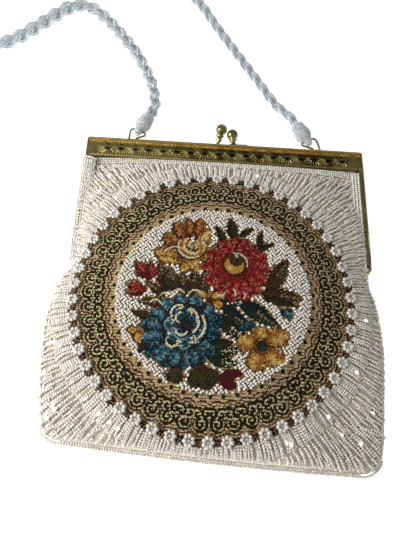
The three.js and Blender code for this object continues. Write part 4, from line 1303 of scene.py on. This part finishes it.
COVE_Y = 113.1
COVE_RADIUS = 1.5
COVE_HALF = 92.6
FLUTE_PITCH = 2.4
FLOWER_Y = 107.0
RAY_Y = 106.3
DOT_SPREAD = 1.1
DOT_BEAD = (0.75, 0.75)
RIDGE_HALF = 0.27
RIDGE_RISE = 0.45
RIDGE = ((0, 1, 4), (2, 3, 5), (1, 2, 5), (1, 5, 4), (3, 0, 4), (3, 4, 5))


def relief_lines(name, lines, material):
    """Small raised ridges from one point to another on the frame's face: (x0, y0, x1, y1)."""
    a, b = np.hsplit(np.array(lines), 2)
    way = unit(b - a) * RIDGE_HALF
    over = np.stack([-way[:, 1], way[:, 0]], 1)
    outline = np.stack([a + over, a - over, b - over, b + over, a + way, b - way], 1)
    height = np.tile(BAND_FACE + np.array([[-0.05]] * 4 + [[RIDGE_RISE]] * 2), (len(lines), 1, 1))
    faces = np.array(RIDGE) + len(outline[0]) * np.arange(len(lines))[:, None, None]
    points = np.concatenate([outline, height], -1).reshape(-1, 3)
    add_object(name, mesh_from(name, points, faces.reshape(-1, 3), smooth=False), material)


def frame_relief():
    lines, dots = [], []

    def rays(x, first, last, count, near, far):
        for angle in np.radians(np.linspace(first, last, count)):
            c, s = math.cos(angle), math.sin(angle)
            lines.append((x + near[0] * c, RAY_Y + near[1] * s, x + far[0] * c, RAY_Y + far[1] * s))

    for unit_at in range(-4, 5):
        x = unit_at * PIERCING_PITCH
        rays(x - PIERCING_SPREAD, 162, 258, 6, (2.4, 1.9), (7.2, 5.5))
        rays(x + PIERCING_SPREAD, 225, 315, 4, (2.4, 1.7), (4.2, 4.8))
        rays(x, 200, 340, 4, (1.5, 1.5), (2.4, 3.6))
        for a in turns(6):
            dots.append((x + DOT_SPREAD * math.cos(a), FLOWER_Y + DOT_SPREAD * math.sin(a), BAND_FACE + 0.02))
        dots.append((x, FLOWER_Y, BAND_FACE + 0.02))
    relief_lines("frame_engraving", lines, ENGRAVED_BRASS)
    beads("frame_dots", dots, [(1, 0, 0)], [UP], *DOT_BEAD, DOT_BRASS, "frame_brass", shape=ROUND)


def cove_ribs():
    """The cove's stamped ribs: a fluted half round along the frame's top edge."""
    x, arc = np.meshgrid(np.arange(-COVE_HALF, COVE_HALF + 0.01, 0.31), np.linspace(0.05, 0.95, 9) * np.pi,
                         indexing="ij")
    swell = COVE_RADIUS + 0.05 + 0.5 * (0.5 + 0.5 * np.cos(2 * np.pi * x / FLUTE_PITCH)) ** 2
    y = COVE_Y - 0.55 + 0.95 * COVE_RADIUS * np.cos(arc)
    z = BAND_FACE - 0.1 + 0.55 * swell * np.sin(arc)
    mesh = mesh_from("frame_cove", np.stack([x, y, z], -1).reshape(-1, 3), grid_faces(*x.shape))
    add_object("frame_cove", mesh, COVE_BRASS)


LIP_INSET = 0.35
LIP_RADIUS = 0.42
LIP_SIDES = 8


def frame_lip():
    """A pale wire edge round the frame's face: up the left side, along the top and down the right arm."""
    side = HALF_FRAME - LIP_INSET
    top = FRAME_TOP_Y - LIP_INSET
    path = [(-side, y) for y in (BAND_Y - 1.0, BAND_Y + 4, top - 1.2)]
    path += [(-side + 0.35, top - 0.35)] + [(x, top) for x in (-side + 1.2, -60, -20, 20, 60, side - 1.2)]
    path += [(side - 0.35, top - 0.35)] + [(side, y) for y in (top - 1.2, BAND_Y, 80.0, 56.0, HINGE_Y + 4)]
    path = np.array([(x, y, BAND_FACE + 0.1) for x, y in path])
    backward = -unit(np.gradient(path, axis=0))
    rings = [spot + round_axis(way, turns(LIP_SIDES)) * LIP_RADIUS for spot, way in zip(path, backward)]
    faces = grid_faces(len(path), LIP_SIDES, closed=True)[:, [0, 3, 2, 1]]
    faces = np.concatenate([faces, cap_faces(len(path), LIP_SIDES)])
    add_object("frame_lip", mesh_from("frame_lip", np.concatenate(rings), faces), LIP_METAL)


# The carried-over metal: each node takes its brass

def dress_metal():
    for material, names in ((FRAME_ZONES, ("frame_front", "frame_back")),
                            (RING_BRASS, ("hinge_rivet_left", "hinge_rivet_right",
                                          "strap_ring_left", "strap_ring_right"))):
        for name in names:
            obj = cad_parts[name]
            if obj.material_slots:
                obj.material_slots[0].material = material
            else:
                obj.data.materials.append(material)


def frame_material():
    """Brass in zones: a silvery top edge, an orange gold cove, a dark olive face, a lighter strip. All zones
    are painted lighter towards the left, as painted light, and in bright patches, as painted highlights.
    """
    n = Nodes("frame_zones")
    split = n.new("ShaderNodeSeparateXYZ")
    n.link(n.place, split.inputs[0])
    y = split.outputs["Y"]
    band = n.ramp(n.math("MULTIPLY", n.math("SUBTRACT", y, 0.0990), 1 / 0.017),
                  (0.0, srgb(150, 134, 78)), (0.13, srgb(176, 158, 92)), (0.19, srgb(84, 74, 40)),
                  (0.66, srgb(92, 80, 42)), (0.72, srgb(196, 146, 60)), (0.86, srgb(206, 156, 70)),
                  (0.885, srgb(214, 208, 190)))
    patina = n.noise(300.0, 5.0, 0.6)
    # Painted light: the brass is lightened towards the left side, where the key light stands, and in bright
    # patches that are painted highlights
    rightward = n.math("MULTIPLY", n.math("ADD", split.outputs["X"], 0.094), 11.0)
    left = n.ramp(rightward, (0.0, (1, 1, 1, 1)), (1.0, (0, 0, 0, 1)))
    painted_glow = n.ramp(n.noise(95.0, 2.0), (0.45, (0, 0, 0, 1)), (0.7, (1, 1, 1, 1)))
    lit = n.math("ADD", n.math("MULTIPLY", left, 0.45), n.math("MULTIPLY", painted_glow, 0.3))
    band = n.mix(lit, band, srgb(246, 228, 150))
    aged = n.mix(n.math("MULTIPLY", patina, 0.5), band, srgb(52, 42, 18), "MULTIPLY")
    worn = n.ramp(n.noise(240.0, 4.0), (0.3, (0.2, 0.2, 0.2, 1)), (0.7, (0.42, 0.42, 0.42, 1)))
    n.set(Base_Color=aged, Metallic=1.0, Roughness=worn)
    n.bump(n.noise(700.0, 4.0), 0.35, 0.0002)
    return n.material


FRAME_ZONES = frame_material()
DOT_BRASS = brass_material("dot_brass", (236, 220, 160), (190, 168, 104), 0.25)


# Floor and light: a bright table, the light from the left

FLOOR_HALF = 3000.0

# Name, place, what it points at, size, power
LIGHTS = (
    ("key", (-560, -30, 320), (-40, -10, 10), 480, 4.6),
    ("fill", (-260, -300, 560), (0, 0, 10), 500, 0.4),
)


def floor_and_light():
    points = [(x * FLOOR_HALF, y * FLOOR_HALF, 0) for x, y in ((-1, -1), (1, -1), (1, 1), (-1, 1))]
    mesh = mesh_from("floor", points, [(0, 1, 2, 3)], smooth=False)
    floor = bpy.data.objects.new("floor", mesh)
    bpy.context.scene.collection.objects.link(floor)
    n = Nodes("floor_white")
    n.set(Base_Color=srgb(250, 250, 252), Roughness=0.9)
    n.set(Emission_Color=(1, 1, 1, 1), Emission_Strength=0.74)
    mesh.materials.append(n.material)
    world = bpy.data.worlds.new("studio")
    bpy.context.scene.world = world
    world.use_nodes = True
    background = world.node_tree.nodes["Background"]
    background.inputs["Color"].default_value = (0.93, 0.96, 1.0, 1)
    background.inputs["Strength"].default_value = 0.34
    for name, spot, target, size, power in LIGHTS:
        light = bpy.data.lights.new(name, "AREA")
        light.size = size * MM
        light.energy = power
        obj = bpy.data.objects.new(name, light)
        obj.location = Vector(spot) * MM
        obj.rotation_euler = (Vector(target) * MM - obj.location).to_track_quat("-Z", "Y").to_euler()
        bpy.context.scene.collection.objects.link(obj)
    bpy.context.scene.view_settings.view_transform = "Standard"


add_camera()
pouch_cloth()
field_beads()
edge_rows()
wall_rows()
arm_strings()
piping_rows()
back_beads()
rosettes()
tapestry()
ground_beads()
strap_cords()
for hand, word in ((-1, "left"), (1, "right")):
    strap_end(hand, word)
    clasp_knob(hand, word)
frame_relief()
cove_ribs()
frame_lip()
dress_metal()
floor_and_light()
